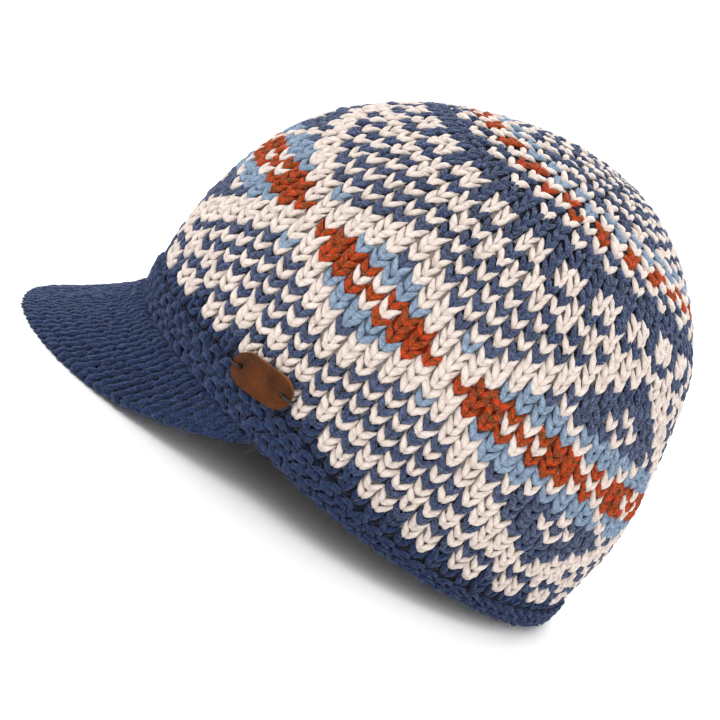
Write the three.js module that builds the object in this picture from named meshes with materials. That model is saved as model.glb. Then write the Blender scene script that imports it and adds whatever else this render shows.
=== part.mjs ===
// Peaked beanie: a thick knitted cap with a purl band, a short knitted peak and a small leather tag.
// Millimetres. The peak points along -Y, the wearer's left (the tag's side) is +X, up is +Z.
// The cap is shaped in a frame of its own, with the rim in the plane z = 0 and the head's axis upright.
// It is then tipped back until the peak's edge and the back of the rim rest on the plane z = 0.
import * as THREE from 'three';

// Head and wall
const WALL = 4.5;                 // thickness of the two-yarn knit
const GAP = 0.3;                  // clearance between neighbouring pieces
const AROUND = 72;                // facets round the cap

// Outer form of the cap, from the rim to the closed top
const FORM = [
  { height: 0, halfLength: 100.8, halfWidth: 82.5, shift: 0 },
  { height: 20, halfLength: 102.6, halfWidth: 86.5, shift: -2 },
  { height: 38, halfLength: 102.4, halfWidth: 89, shift: -3 },
  { height: 54, halfLength: 100, halfWidth: 89.8, shift: -4 },
  { height: 68, halfLength: 96, halfWidth: 88, shift: -5 },
  { height: 81.5, halfLength: 91, halfWidth: 84.3, shift: -5 },
  { height: 94.5, halfLength: 84.5, halfWidth: 78, shift: -3.5 },
  { height: 107.5, halfLength: 75.5, halfWidth: 68.8, shift: -1 },
  { height: 120, halfLength: 62.5, halfWidth: 56, shift: 1 },
  { height: 132, halfLength: 44, halfWidth: 38.5, shift: 4 },
  { height: 140, halfLength: 25, halfWidth: 22, shift: 6 },
  { height: 143.5, halfLength: 8, halfWidth: 7, shift: 7.5 },
];
const CROWN_RINGS = 15;
const RING_EASE = 0.92;           // rings a little closer towards the closed top

// Band of purl ridges at the rim
const BAND = 10.5;                // height of the band along the wall
const BAND_PROUD = 0.9;           // how far it stands out from the crown
const RIDGES = 3;
const RIDGE_DEPTH = 0.55;
const RIDGE_STEPS = 4;            // section points for each ridge
const HEM = 1.4;                  // rounding at its lower edge
const FRONT_DIP = 2;              // how much deeper the band is over the peak

// Peak
const PEAK_HALF_ANGLE = 60.5;     // degrees round the rim, either side of the front
const PEAK_REACH = 40;            // from the rim to the edge, at the middle
const PEAK_FULLNESS = 1.8;        // plan outline, as powers of the share round
const PEAK_ROUND = 0.92;
const PEAK_SLOPE = 41.5;          // degrees below the rim's plane, at the middle
const PEAK_SIDE_SLOPE = 36;       // added at the ends
const PEAK_CAMBER = -4.5;         // change of slope from root to edge
const PEAK_THICK = 6;
const PEAK_END_THICK = 3;
const PEAK_LEAD = 4.5;            // flange that runs under the band
const PEAK_LEAD_STEPS = [-1, -0.4];
const PEAK_EDGE_THIN = 0.72;      // share of the thickness left where the edge starts to round
const PEAK_EDGE_ROUND = 0.3;      // run of the rounded edge, as a share of the thickness
const PEAK_ACROSS = 36;
const PEAK_ALONG = 6;

// Leather tag and the threads that hold it
const TAG = { length: 23.6, width: 12.1, thick: 1.5, endWidth: 6.2, endRun: 4.2, hole: 1.1, holeInset: 3.2 };
const TAG_ANGLE = 55.6;           // degrees round the rim, on the wearer's left
const TAG_HEIGHT = 18.5;          // up the wall, to its middle
const TAG_LEAN = 10.8;            // degrees, front end low
const TAG_BEND = 96;              // radius of its curve round the cap
const TAG_STANDOFF = 1.75;        // from the crown's face to the tag's back
const TAG_CORNER = 2.2;           // how far a corner's rounding runs along each side
const TAG_CORNER_SHARE = 0.45;    // and at most this share of a short side
const TAG_CORNER_STEPS = 3;
const TAG_LONG_SIDE = 8;          // a side longer than this takes points between its corners
const THREAD = 0.45;              // thread's radius
const THREAD_TURN = 0.7;          // rounding of its path at the hole and at the tag's end
const THREAD_SINK = 0.2;          // depth in the hole at which the path starts to turn
const THREAD_TAIL = 0.35;         // height of its hidden end in the hole
const THREAD_SLANT = 0.2;

// Rest
const TILT = 8;                   // degrees, peak up
const LIFT = 13;                  // height of the rim's middle
const SLIDE = 16.3;               // puts the middle of the whole part over the origin

const rad = THREE.MathUtils.degToRad;
const lerp = THREE.MathUtils.lerp;

// Meridian of the cap, with lengths measured up the wall from the rim

const formCurve = new THREE.CatmullRomCurve3(
  FORM.map((row) => new THREE.Vector3(row.halfLength, row.halfWidth, row.height)), false, 'centripetal');
const shiftCurve = new THREE.CatmullRomCurve3(
  FORM.map((row) => new THREE.Vector3(row.shift, 0, row.height)), false, 'centripetal');

const MERIDIAN = meridian(240);
const WALL_LENGTH = MERIDIAN.at(-1).length;

function meridian(count) {
  const rows = [];
  let length = 0;
  for (let i = 0; i <= count; i++) {
    const form = formCurve.getPoint(i / count);
    const shift = shiftCurve.getPoint(i / count).x;
    if (i > 0) {
      length += Math.hypot(form.x - rows[i - 1].halfLength, form.z - rows[i - 1].height);
    }
    rows.push({ length, halfLength: form.x, halfWidth: form.y, height: form.z, shift });
  }
  return rows;
}

function formAt(length) {
  if (length <= 0) {
    return { ...MERIDIAN[0], height: length };
  }
  const next = MERIDIAN.findIndex((row) => row.length >= length);
  const high = MERIDIAN[next < 1 ? MERIDIAN.length - 1 : next];
  const low = MERIDIAN[next < 1 ? MERIDIAN.length - 2 : next - 1];
  const share = (length - low.length) / (high.length - low.length);
  const mix = (key) => lerp(low[key], high[key], share);
  return { halfLength: mix('halfLength'), halfWidth: mix('halfWidth'), height: mix('height'), shift: mix('shift') };
}

// A point of the wall: length up from the rim, angle round from the front, depth in from the outer face

function outerPoint(length, angle) {
  const form = formAt(length);
  return new THREE.Vector3(
    form.halfWidth * Math.sin(angle), form.shift - form.halfLength * Math.cos(angle), form.height);
}

function outward(length, angle) {
  const step = 0.5;
  const round = outerPoint(length, angle + 0.01).sub(outerPoint(length, angle - 0.01));
  const up = outerPoint(length + step, angle).sub(outerPoint(length - step, angle));
  return round.cross(up).normalize();
}

function wallPoint(length, angle, depth) {
  return outerPoint(length, angle).addScaledVector(outward(length, angle), -depth);
}

function ring(pointAt) {
  return Array.from({ length: AROUND }, (_, i) => pointAt((2 * Math.PI * i) / AROUND));
}

// Closed bodies from loops of points

function closedBody(name, loops, material, { wrap = false } = {}) {
  const count = loops[0].length;
  const points = loops.flat();
  const faces = [];
  const index = (loop, i) => (loop % loops.length) * count + (i % count);
  for (let loop = 0; loop < loops.length - (wrap ? 0 : 1); loop++) {
    for (let i = 0; i < count; i++) {
      const corners = [index(loop, i), index(loop, i + 1), index(loop + 1, i + 1), index(loop + 1, i)];
      faces.push([corners[0], corners[1], corners[2]], [corners[0], corners[2], corners[3]]);
    }
  }
  if (!wrap) {
    const ends = [{ loop: 0, turn: [1, 0] }, { loop: loops.length - 1, turn: [0, 1] }];
    for (const { loop, turn } of ends) {
      const middle = new THREE.Vector3();
      loops[loop].forEach((point) => middle.addScaledVector(point, 1 / count));
      points.push(middle);
      for (let i = 0; i < count; i++) {
        faces.push([index(loop, i + turn[0]), index(loop, i + turn[1]), points.length - 1]);
      }
    }
  }
  return bodyMesh(name, points.map(rested), faces, material);
}

function bodyMesh(name, points, faces, material) {
  const volume = faces.reduce((sum, [a, b, c]) =>
    sum + points[a].dot(new THREE.Vector3().crossVectors(points[b], points[c])), 0);
  const turned = volume > 0 ? faces : faces.map(([a, b, c]) => [a, c, b]);
  const geometry = new THREE.BufferGeometry();
  geometry.setAttribute('position', new THREE.Float32BufferAttribute(points.flatMap((p) => p.toArray()), 3));
  geometry.setIndex(turned.flat());
  geometry.computeVertexNormals();
  const mesh = new THREE.Mesh(geometry, material);
  mesh.name = name;
  return mesh;
}

// From the cap's own frame to the resting pose: tip, lift, and press flat what would reach below the surface

function rested(point) {
  const placed = point.clone().applyAxisAngle(new THREE.Vector3(1, 0, 0), -rad(TILT));
  placed.add(new THREE.Vector3(0, SLIDE, LIFT));
  placed.z = Math.max(placed.z, 0);
  return placed;
}

// Crown

function crown(material) {
  const lower = BAND + GAP;
  const lengths = Array.from({ length: CROWN_RINGS }, (_, i) =>
    lerp(lower, WALL_LENGTH, (i / (CROWN_RINGS - 1)) ** RING_EASE));
  const outer = lengths.map((length) => ring((angle) => wallPoint(length, angle, 0)));
  const inner = lengths.slice(0, -1).map((length) => ring((angle) => wallPoint(length, angle, WALL)));
  return closedBody('crown', [...inner.reverse(), ...outer], material);
}

// Headband

function frontDip(angle) {
  const share = Math.abs(Math.atan2(Math.sin(angle), Math.cos(angle))) / rad(PEAK_HALF_ANGLE);
  return share < 1 ? FRONT_DIP * Math.cos((share * Math.PI) / 2) ** 2 : 0;
}

function bandSection() {
  const section = [];
  const steps = RIDGES * RIDGE_STEPS;
  for (let i = 0; i <= steps; i++) {
    const ridge = Math.abs(Math.sin((Math.PI * i) / RIDGE_STEPS));
    section.push({ up: lerp(1, HEM / BAND, i / steps), depth: -BAND_PROUD - RIDGE_DEPTH * (ridge - 0.5) });
  }
  section.push({ up: 0, depth: -BAND_PROUD + HEM });
  section.push({ up: 0, depth: WALL - HEM });
  section.push({ up: HEM / BAND, depth: WALL });
  section.push({ up: 1, depth: WALL });
  return section;
}

function headband(material) {
  const loops = bandSection().map(({ up, depth }) =>
    ring((angle) => wallPoint(lerp(-frontDip(angle), BAND, up), angle, depth)));
  return closedBody('headband', loops, material, { wrap: true });
}

// Peak

function peakSpine(across, along) {
  const angle = across * rad(PEAK_HALF_ANGLE);
  const share = Math.abs(across);
  const thick = lerp(PEAK_THICK, PEAK_END_THICK, share ** 3);
  const reach = PEAK_REACH * Math.max(0, 1 - share ** PEAK_FULLNESS) ** PEAK_ROUND;
  const root = outerPoint(-frontDip(angle), angle);
  root.z -= GAP + thick / 2;
  if (along <= 0) {
    const inward = outward(0, angle).setZ(0).normalize();
    return { point: root.addScaledVector(inward, along * PEAK_LEAD), thick };
  }
  const slope = rad(PEAK_SLOPE + PEAK_SIDE_SLOPE * share ** 2 + PEAK_CAMBER * (along - 0.5));
  root.y -= reach * along * Math.cos(slope);
  root.z -= reach * along * Math.sin(slope);
  return { point: root, thick };
}

function peakSection(across) {
  const rows = [...PEAK_LEAD_STEPS, ...Array.from({ length: PEAK_ALONG + 1 }, (_, i) => i / PEAK_ALONG)];
  const spine = rows.map((along) => peakSpine(across, along));
  const upper = [];
  const lower = [];
  spine.forEach(({ point, thick }, i) => {
    const before = spine[Math.max(i - 1, 0)].point;
    const after = spine[Math.min(i + 1, spine.length - 1)].point;
    const run = after.clone().sub(before);
    run.x = 0;
    const normal = run.lengthSq() > 1e-4 ? new THREE.Vector3(0, run.z, -run.y).normalize() : new THREE.Vector3(0, 0, 1);
    const half = (i === spine.length - 1 ? PEAK_EDGE_THIN : 1) * (thick / 2);
    upper.push(point.clone().addScaledVector(normal, half));
    lower.push(point.clone().addScaledVector(normal, -half));
  });
  const last = spine.at(-1);
  const run = last.point.clone().sub(spine.at(-2).point).normalize();
  const edge = last.point.clone().addScaledVector(run, last.thick * PEAK_EDGE_ROUND);
  return [...upper, edge, ...lower.reverse()];
}

function peak(material) {
  const loops = Array.from({ length: PEAK_ACROSS + 1 }, (_, i) => peakSection(-1 + (2 * i) / PEAK_ACROSS));
  return closedBody('peak', loops, material);
}

// Leather tag: flat outline, bent round the cap

function tagOutline() {
  const { length, width, endWidth, endRun } = TAG;
  const outline = [];
  const corners = [
    [-length / 2, -endWidth / 2], [-length / 2 + endRun, -width / 2],
    [length / 2 - endRun, -width / 2], [length / 2, -endWidth / 2],
    [length / 2, endWidth / 2], [length / 2 - endRun, width / 2],
    [-length / 2 + endRun, width / 2], [-length / 2, endWidth / 2],
  ];
  corners.forEach((corner, i) => {
    const before = new THREE.Vector2(...corners[(i + 7) % 8]);
    const after = new THREE.Vector2(...corners[(i + 1) % 8]);
    const here = new THREE.Vector2(...corner);
    const start = here.clone().lerp(before, Math.min(TAG_CORNER_SHARE, TAG_CORNER / here.distanceTo(before)));
    const end = here.clone().lerp(after, Math.min(TAG_CORNER_SHARE, TAG_CORNER / here.distanceTo(after)));
    const bend = new THREE.QuadraticBezierCurve(start, here, end);
    outline.push(...bend.getPoints(TAG_CORNER_STEPS));
    if (end.distanceTo(after) > TAG_LONG_SIDE) {
      outline.push(...[0.25, 0.5, 0.75].map((share) => end.clone().lerp(after, share)));
    }
  });
  return outline;
}

function tagPlace(along, up, out) {
  const lean = rad(TAG_LEAN);
  const round = along * Math.cos(lean) - up * Math.sin(lean);
  const rise = along * Math.sin(lean) + up * Math.cos(lean);
  const angle = rad(TAG_ANGLE);
  const normal = outward(TAG_HEIGHT, angle);
  const level = new THREE.Vector3(0, 0, 1).cross(normal).normalize();
  const steep = normal.clone().cross(level);
  const radius = TAG_BEND + out;
  return outerPoint(TAG_HEIGHT, angle)
    .addScaledVector(level, radius * Math.sin(round / TAG_BEND))
    .addScaledVector(normal, TAG_STANDOFF + radius * Math.cos(round / TAG_BEND) - TAG_BEND)
    .addScaledVector(steep, rise);
}

function leatherTag(material) {
  const shape = new THREE.Shape(tagOutline());
  for (const side of [-1, 1]) {
    const hole = new THREE.Path();
    hole.absarc(side * (TAG.length / 2 - TAG.holeInset), 0, TAG.hole, 0, 2 * Math.PI, true);
    shape.holes.push(hole);
  }
  const plate = new THREE.ExtrudeGeometry(shape, { depth: TAG.thick, bevelEnabled: false, curveSegments: 10 });
  return weldedMesh('leather_tag', plate, (p) => tagPlace(p.x, p.y, p.z), material);
}

function weldedMesh(name, geometry, place, material) {
  const position = geometry.getAttribute('position');
  const known = new Map();
  const points = [];
  const corner = Array.from({ length: position.count }, (_, i) => {
    const point = new THREE.Vector3().fromBufferAttribute(position, i);
    const key = point.toArray().map((value) => value.toFixed(4)).join();
    if (!known.has(key)) {
      known.set(key, points.length);
      points.push(rested(place(point)));
    }
    return known.get(key);
  });
  const order = geometry.index ? Array.from(geometry.index.array, (i) => corner[i]) : corner;
  const faces = [];
  for (let i = 0; i < order.length; i += 3) {
    const [a, b, c] = order.slice(i, i + 3);
    if (a !== b && b !== c && c !== a) {
      faces.push([a, b, c]);
    }
  }
  return bodyMesh(name, points, faces, material);
}

// A thread comes up through a hole and goes down over the tag's end, into the knit

function tagThread(name, side, material) {
  const hole = TAG.length / 2 - TAG.holeInset;
  const end = TAG.length / 2 + THREAD + GAP;
  const over = TAG.thick + GAP + THREAD;
  const low = GAP - TAG_STANDOFF;
  const route = [
    { along: hole, out: THREAD_TAIL }, { along: hole, out: TAG.thick - THREAD_SINK },
    { along: hole + THREAD_TURN, out: over }, { along: end - THREAD_TURN, out: over },
    { along: end + THREAD_SINK, out: TAG.thick - THREAD_SINK }, { along: end + THREAD_SINK, out: low },
  ];
  const path = new THREE.CatmullRomCurve3(
    route.map(({ along, out }) => new THREE.Vector3(side * along, side * THREAD_SLANT, out)), false, 'centripetal');
  const round = new THREE.Shape();
  round.absarc(0, 0, THREAD, 0, 2 * Math.PI, false);
  const tube = new THREE.ExtrudeGeometry(round, { steps: 14, extrudePath: path, curveSegments: 6 });
  return weldedMesh(name, tube, (p) => tagPlace(p.x, p.y, p.z), material);
}

const navyWool = new THREE.MeshStandardMaterial({ color: 0x2b4574, roughness: 0.95, metalness: 0 });
const mixedWool = new THREE.MeshStandardMaterial({ color: 0x8a8fa6, roughness: 0.95, metalness: 0 });
const peakWool = new THREE.MeshStandardMaterial({ color: 0x29426f, roughness: 0.95, metalness: 0 });
const leather = new THREE.MeshStandardMaterial({ color: 0x6e4224, roughness: 0.6, metalness: 0 });
const thread = new THREE.MeshStandardMaterial({ color: 0x1d1a1c, roughness: 0.8, metalness: 0 });

const group = new THREE.Group();
group.add(crown(mixedWool));
group.add(headband(navyWool));
group.add(peak(peakWool));
group.add(leatherTag(leather));
group.add(tagThread('tag_stitch_front', -1, thread));
group.add(tagThread('tag_stitch_back', 1, thread));

export default group;
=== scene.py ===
"""Peaked beanie: a thick cap knitted in two yarns, with a purl band, a knitted peak and a small leather tag.

The sizes of the pieces are in millimetres and become metres where a mesh is made. The cap is shaped in a
frame of its own, with the rim in the plane z = 0, and then tipped back onto the surface that it rests on.
"""

import logging
import math
from dataclasses import dataclass, field
from enum import Enum
from functools import cached_property
from typing import Any

import bpy
import numpy as np
from mathutils import Matrix, Vector

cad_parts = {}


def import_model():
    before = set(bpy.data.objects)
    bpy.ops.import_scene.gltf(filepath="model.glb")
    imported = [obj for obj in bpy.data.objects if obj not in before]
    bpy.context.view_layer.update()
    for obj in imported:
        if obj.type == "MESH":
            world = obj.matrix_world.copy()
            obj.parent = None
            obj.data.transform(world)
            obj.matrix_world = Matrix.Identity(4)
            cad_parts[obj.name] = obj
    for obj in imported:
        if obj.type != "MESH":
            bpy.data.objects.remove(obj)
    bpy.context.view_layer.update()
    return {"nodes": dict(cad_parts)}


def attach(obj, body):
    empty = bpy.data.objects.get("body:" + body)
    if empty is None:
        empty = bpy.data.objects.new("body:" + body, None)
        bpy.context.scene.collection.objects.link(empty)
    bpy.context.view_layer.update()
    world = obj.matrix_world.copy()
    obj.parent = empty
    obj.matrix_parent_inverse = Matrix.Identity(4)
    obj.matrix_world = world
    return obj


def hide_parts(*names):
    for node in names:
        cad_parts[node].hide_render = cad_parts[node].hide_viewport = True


MM = 0.001
BODY = "root"
LOG = logging.getLogger("beanie")

# Height in metres below which the stitches are pressed flat by the surface that the cap rests on.
PRESSED = 0.0015

# Attributes that the strands and the cloth carry to their materials.
STRAND_MAP = "strand_uv"
STRAND_TONE = "strand_tone"
# The cloth's colour on each patch: its yarn darkened as painted shade.
CLOTH_SHADED_TINT = "cloth_shaded_tint"

# How dark the cloth is between the stitches, against its yarn: painted shade in the gaps between them.
GROUND_PAINTED_SHADE = 0.6

# Length in millimetres from point to point of a face that stitches are draped on.
DRAPE_RISE = 0.5

# Points in each round of the faces that the loose hairs stand on, and the first seed of the hairs.
SKIN_POINTS = 60
HAIR_SEED = 201

Point = tuple[float, float]
Colour = tuple[float, float, float]
Socket = bpy.types.NodeSocket


def linear(colour: Colour) -> tuple[float, float, float, float]:
    """Turn a screen colour into the light values that a shader takes.

    Args:
        colour: red, green and blue as a screen shows them, 0 to 255.

    Returns:
        Linear red, green, blue and an alpha of 1.
    """
    shares = [value / 255 for value in colour]
    light = [s / 12.92 if s <= 0.04045 else ((s + 0.055) / 1.055) ** 2.4 for s in shares]
    return (light[0], light[1], light[2], 1.0)


def shaded(colour: Colour, share: float) -> Colour:
    """Darken a screen colour to a share of itself."""
    return tuple(value * share for value in colour)


class Yarn(Enum):
    """The six yarns of the cap."""

    CREAM = "cream"
    RUST = "rust"
    SKY = "sky"
    DENIM = "denim"
    INK = "ink"
    NAVY = "navy"


@dataclass
class TreeMaker:
    """Adds nodes to a tree and links them, so that a tree reads as a list of steps."""

    tree: bpy.types.NodeTree

    def feed(self, node: bpy.types.Node, inputs: dict[str, Any]) -> None:
        """Link sockets to a node's inputs, or set them.

        Args:
            node: the node.
            inputs: values or sockets to feed, by the input's identifier or name.
        """
        for key, value in inputs.items():
            socket = next((s for s in node.inputs if s.identifier == key), None) or node.inputs[key]
            if isinstance(value, Socket):
                self.tree.links.new(value, socket)
            else:
                socket.default_value = value

    def add(self, kind: str, inputs: dict[str, Any] | None = None, **settings: Any) -> bpy.types.Node:
        """Add one node.

        Args:
            kind: the node's type name.
            inputs: values or sockets to feed, by the input's identifier or name.
            **settings: properties of the node.

        Returns:
            The new node.
        """
        node = self.tree.nodes.new(kind)
        for key, value in settings.items():
            setattr(node, key, value)
        self.feed(node, inputs or {})
        return node

    def math(self, operation: str, first: Any, second: Any = 0.0, third: Any = 0.0) -> Socket:
        """Combine numbers or sockets with one Math node."""
        fed = {"Value": first, "Value_001": second, "Value_002": third}
        return self.add("ShaderNodeMath", fed, operation=operation).outputs[0]

    def vector(self, x: Any, y: Any, z: Any) -> Socket:
        """Join three numbers to a vector."""
        return self.add("ShaderNodeCombineXYZ", {"X": x, "Y": y, "Z": z}).outputs[0]

    def mix(self, share: Any, first: Any, second: Any) -> Socket:
        """Mix two colours by the share of the second."""
        fed = {"Factor_Float": share, "A_Color": first, "B_Color": second}
        return self.add("ShaderNodeMix", fed, data_type="RGBA").outputs[2]

    def noise(self, place: Any, scale: float, detail: float) -> Socket:
        """Read a noise at a place."""
        return self.add("ShaderNodeTexNoise", {"Vector": place, "Scale": scale, "Detail": detail}).outputs[0]

    def cells(self, place: Any, scale: float) -> Socket:
        """Read how far a place is from the edge of its cell."""
        fed = {"Vector": place, "Scale": scale}
        return self.add("ShaderNodeTexVoronoi", fed, feature="DISTANCE_TO_EDGE").outputs[0]

    def stretch(self, value: Any, low: float, high: float) -> Socket:
        """Stretch what lies between two values over 0 to 1."""
        return self.add("ShaderNodeMapRange", {"Value": value, "From Min": low, "From Max": high}).outputs[0]

    def bump(self, height: Any, strength: float, distance: float) -> Socket:
        """Turn a height into a bumpy normal."""
        fed = {"Height": height, "Strength": strength, "Distance": distance}
        return self.add("ShaderNodeBump", fed).outputs[0]

    def random(self, low: Any, high: Any, seed: Any) -> Socket:
        """Draw a random vector for each point."""
        fed = {"Min": low, "Max": high, "Seed": seed}
        return self.add("FunctionNodeRandomValue", fed, data_type="FLOAT_VECTOR").outputs[0]

    def stored(self, name: str) -> Socket:
        """Read a vector that the mesh carries."""
        kind = "GeometryNodeInputNamedAttribute"
        return self.add(kind, {"Name": name}, data_type="FLOAT_VECTOR").outputs[0]

    def own_place(self) -> Socket:
        """Read a piece's own coordinates."""
        return self.add("ShaderNodeTexCoord").outputs["Object"]

    def curve(self, share: bpy.types.NodeSocket, points: tuple[Point, ...]) -> bpy.types.NodeSocket:
        """Read a smooth curve through a few points.

        Args:
            share: where to read it, 0 to 1.
            points: the curve's points, with values of any size.

        Returns:
            The value's socket.
        """
        values = [value for _, value in points]
        low, high = min(values), max(values)
        span = max(high - low, 1e-6)
        node = self.add("ShaderNodeFloatCurve", {"Value": share})
        line = node.mapping.curves[0]
        scaled = [(at, (value - low) / span) for at, value in points]
        line.points[0].location = scaled[0]
        line.points[1].location = scaled[-1]
        for at, value in scaled[1:-1]:
            line.points.new(at, value)
        node.mapping.update()
        return self.math("MULTIPLY_ADD", node.outputs[0], span, low)


@dataclass(frozen=True)
class StrandShape:
    """How one strand of yarn runs through a stitch.

    across is in stitch widths, along in row heights, rise (out of the cloth) and girth (half its thickness)
    in yarn thicknesses. A mirrored strand has a twin on the stitch's other side.
    """

    across: tuple[Point, ...]
    along: tuple[Point, ...]
    rise: tuple[Point, ...]
    girth: tuple[Point, ...]
    lean: float
    mirrored: bool
    flatness: float = 0.86
    steps: int = 6
    sides: int = 6


KNIT_LEG = StrandShape(
    across=((0, 0.0), (0.28, 0.1), (0.6, 0.32), (1, 0.53)),
    along=((0, -1.08), (0.28, -0.5), (0.6, 0.16), (1, 0.94)),
    rise=((0, -0.7), (0.15, -0.34), (0.4, -0.1), (0.7, -0.3), (1, -0.85)),
    girth=((0, 0), (0.12, 0.29), (0.28, 0.45), (0.45, 0.47), (0.68, 0.34), (0.87, 0.17), (1, 0)),
    lean=38, mirrored=True, steps=7)

PEAK_LEG = StrandShape(
    across=((0, 0.12), (0.3, 0.2), (0.65, 0.28), (1, 0.34)),
    along=((0, -0.95), (0.3, -0.45), (0.65, 0.25), (1, 0.95)),
    rise=((0, -0.62), (0.2, -0.16), (0.45, 0.0), (0.7, -0.12), (1, -0.7)),
    girth=((0, 0), (0.1, 0.3), (0.27, 0.44), (0.5, 0.5), (0.72, 0.43), (0.9, 0.26), (1, 0)),
    lean=12, mirrored=True, steps=7)

PURL_HEAD = StrandShape(
    across=((0, -0.46), (0.25, -0.31), (0.5, 0), (0.75, 0.31), (1, 0.46)),
    along=((0, -0.75), (0.25, -0.05), (0.5, 0.24), (0.75, -0.05), (1, -0.75)),
    rise=((0, -0.95), (0.22, -0.26), (0.5, 0.04), (0.78, -0.26), (1, -0.95)),
    girth=((0, 0), (0.1, 0.34), (0.3, 0.5), (0.5, 0.57), (0.7, 0.5), (0.9, 0.34), (1, 0)),
    lean=90, mirrored=False, steps=7)

PURL_FOOT = StrandShape(
    across=((0, -0.42), (0.25, -0.27), (0.5, 0), (0.75, 0.27), (1, 0.42)),
    along=((0, 0.7), (0.25, 0.02), (0.5, -0.2), (0.75, 0.02), (1, 0.7)),
    rise=((0, -0.95), (0.25, -0.38), (0.5, -0.14), (0.75, -0.38), (1, -0.95)),
    girth=((0, 0), (0.1, 0.34), (0.3, 0.48), (0.5, 0.53), (0.7, 0.48), (0.9, 0.34), (1, 0)),
    lean=90, mirrored=False, steps=7)

INNER_BUMP = StrandShape(
    across=((0, -0.5), (0.5, 0), (1, 0.5)),
    along=((0, -0.2), (0.5, 0.15), (1, -0.2)),
    rise=((0, -0.6), (0.5, 0.1), (1, -0.6)),
    girth=((0, 0), (0.25, 0.42), (0.5, 0.5), (0.75, 0.42), (1, 0)),
    lean=90, mirrored=False, steps=4, sides=4)

FIBRE = StrandShape(
    across=((0, 0), (0.3, 0.1), (0.65, 0.42), (1, 0.62)),
    along=((0, 0), (0.3, 0.4), (0.65, 0.66), (1, 1.0)),
    rise=((0, -5), (0.25, 6), (0.6, 12), (1, 5)),
    girth=((0, 0), (0.2, 0.5), (0.7, 0.4), (1, 0)),
    lean=35, mirrored=False, flatness=1.0, steps=3, sides=3)


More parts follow.
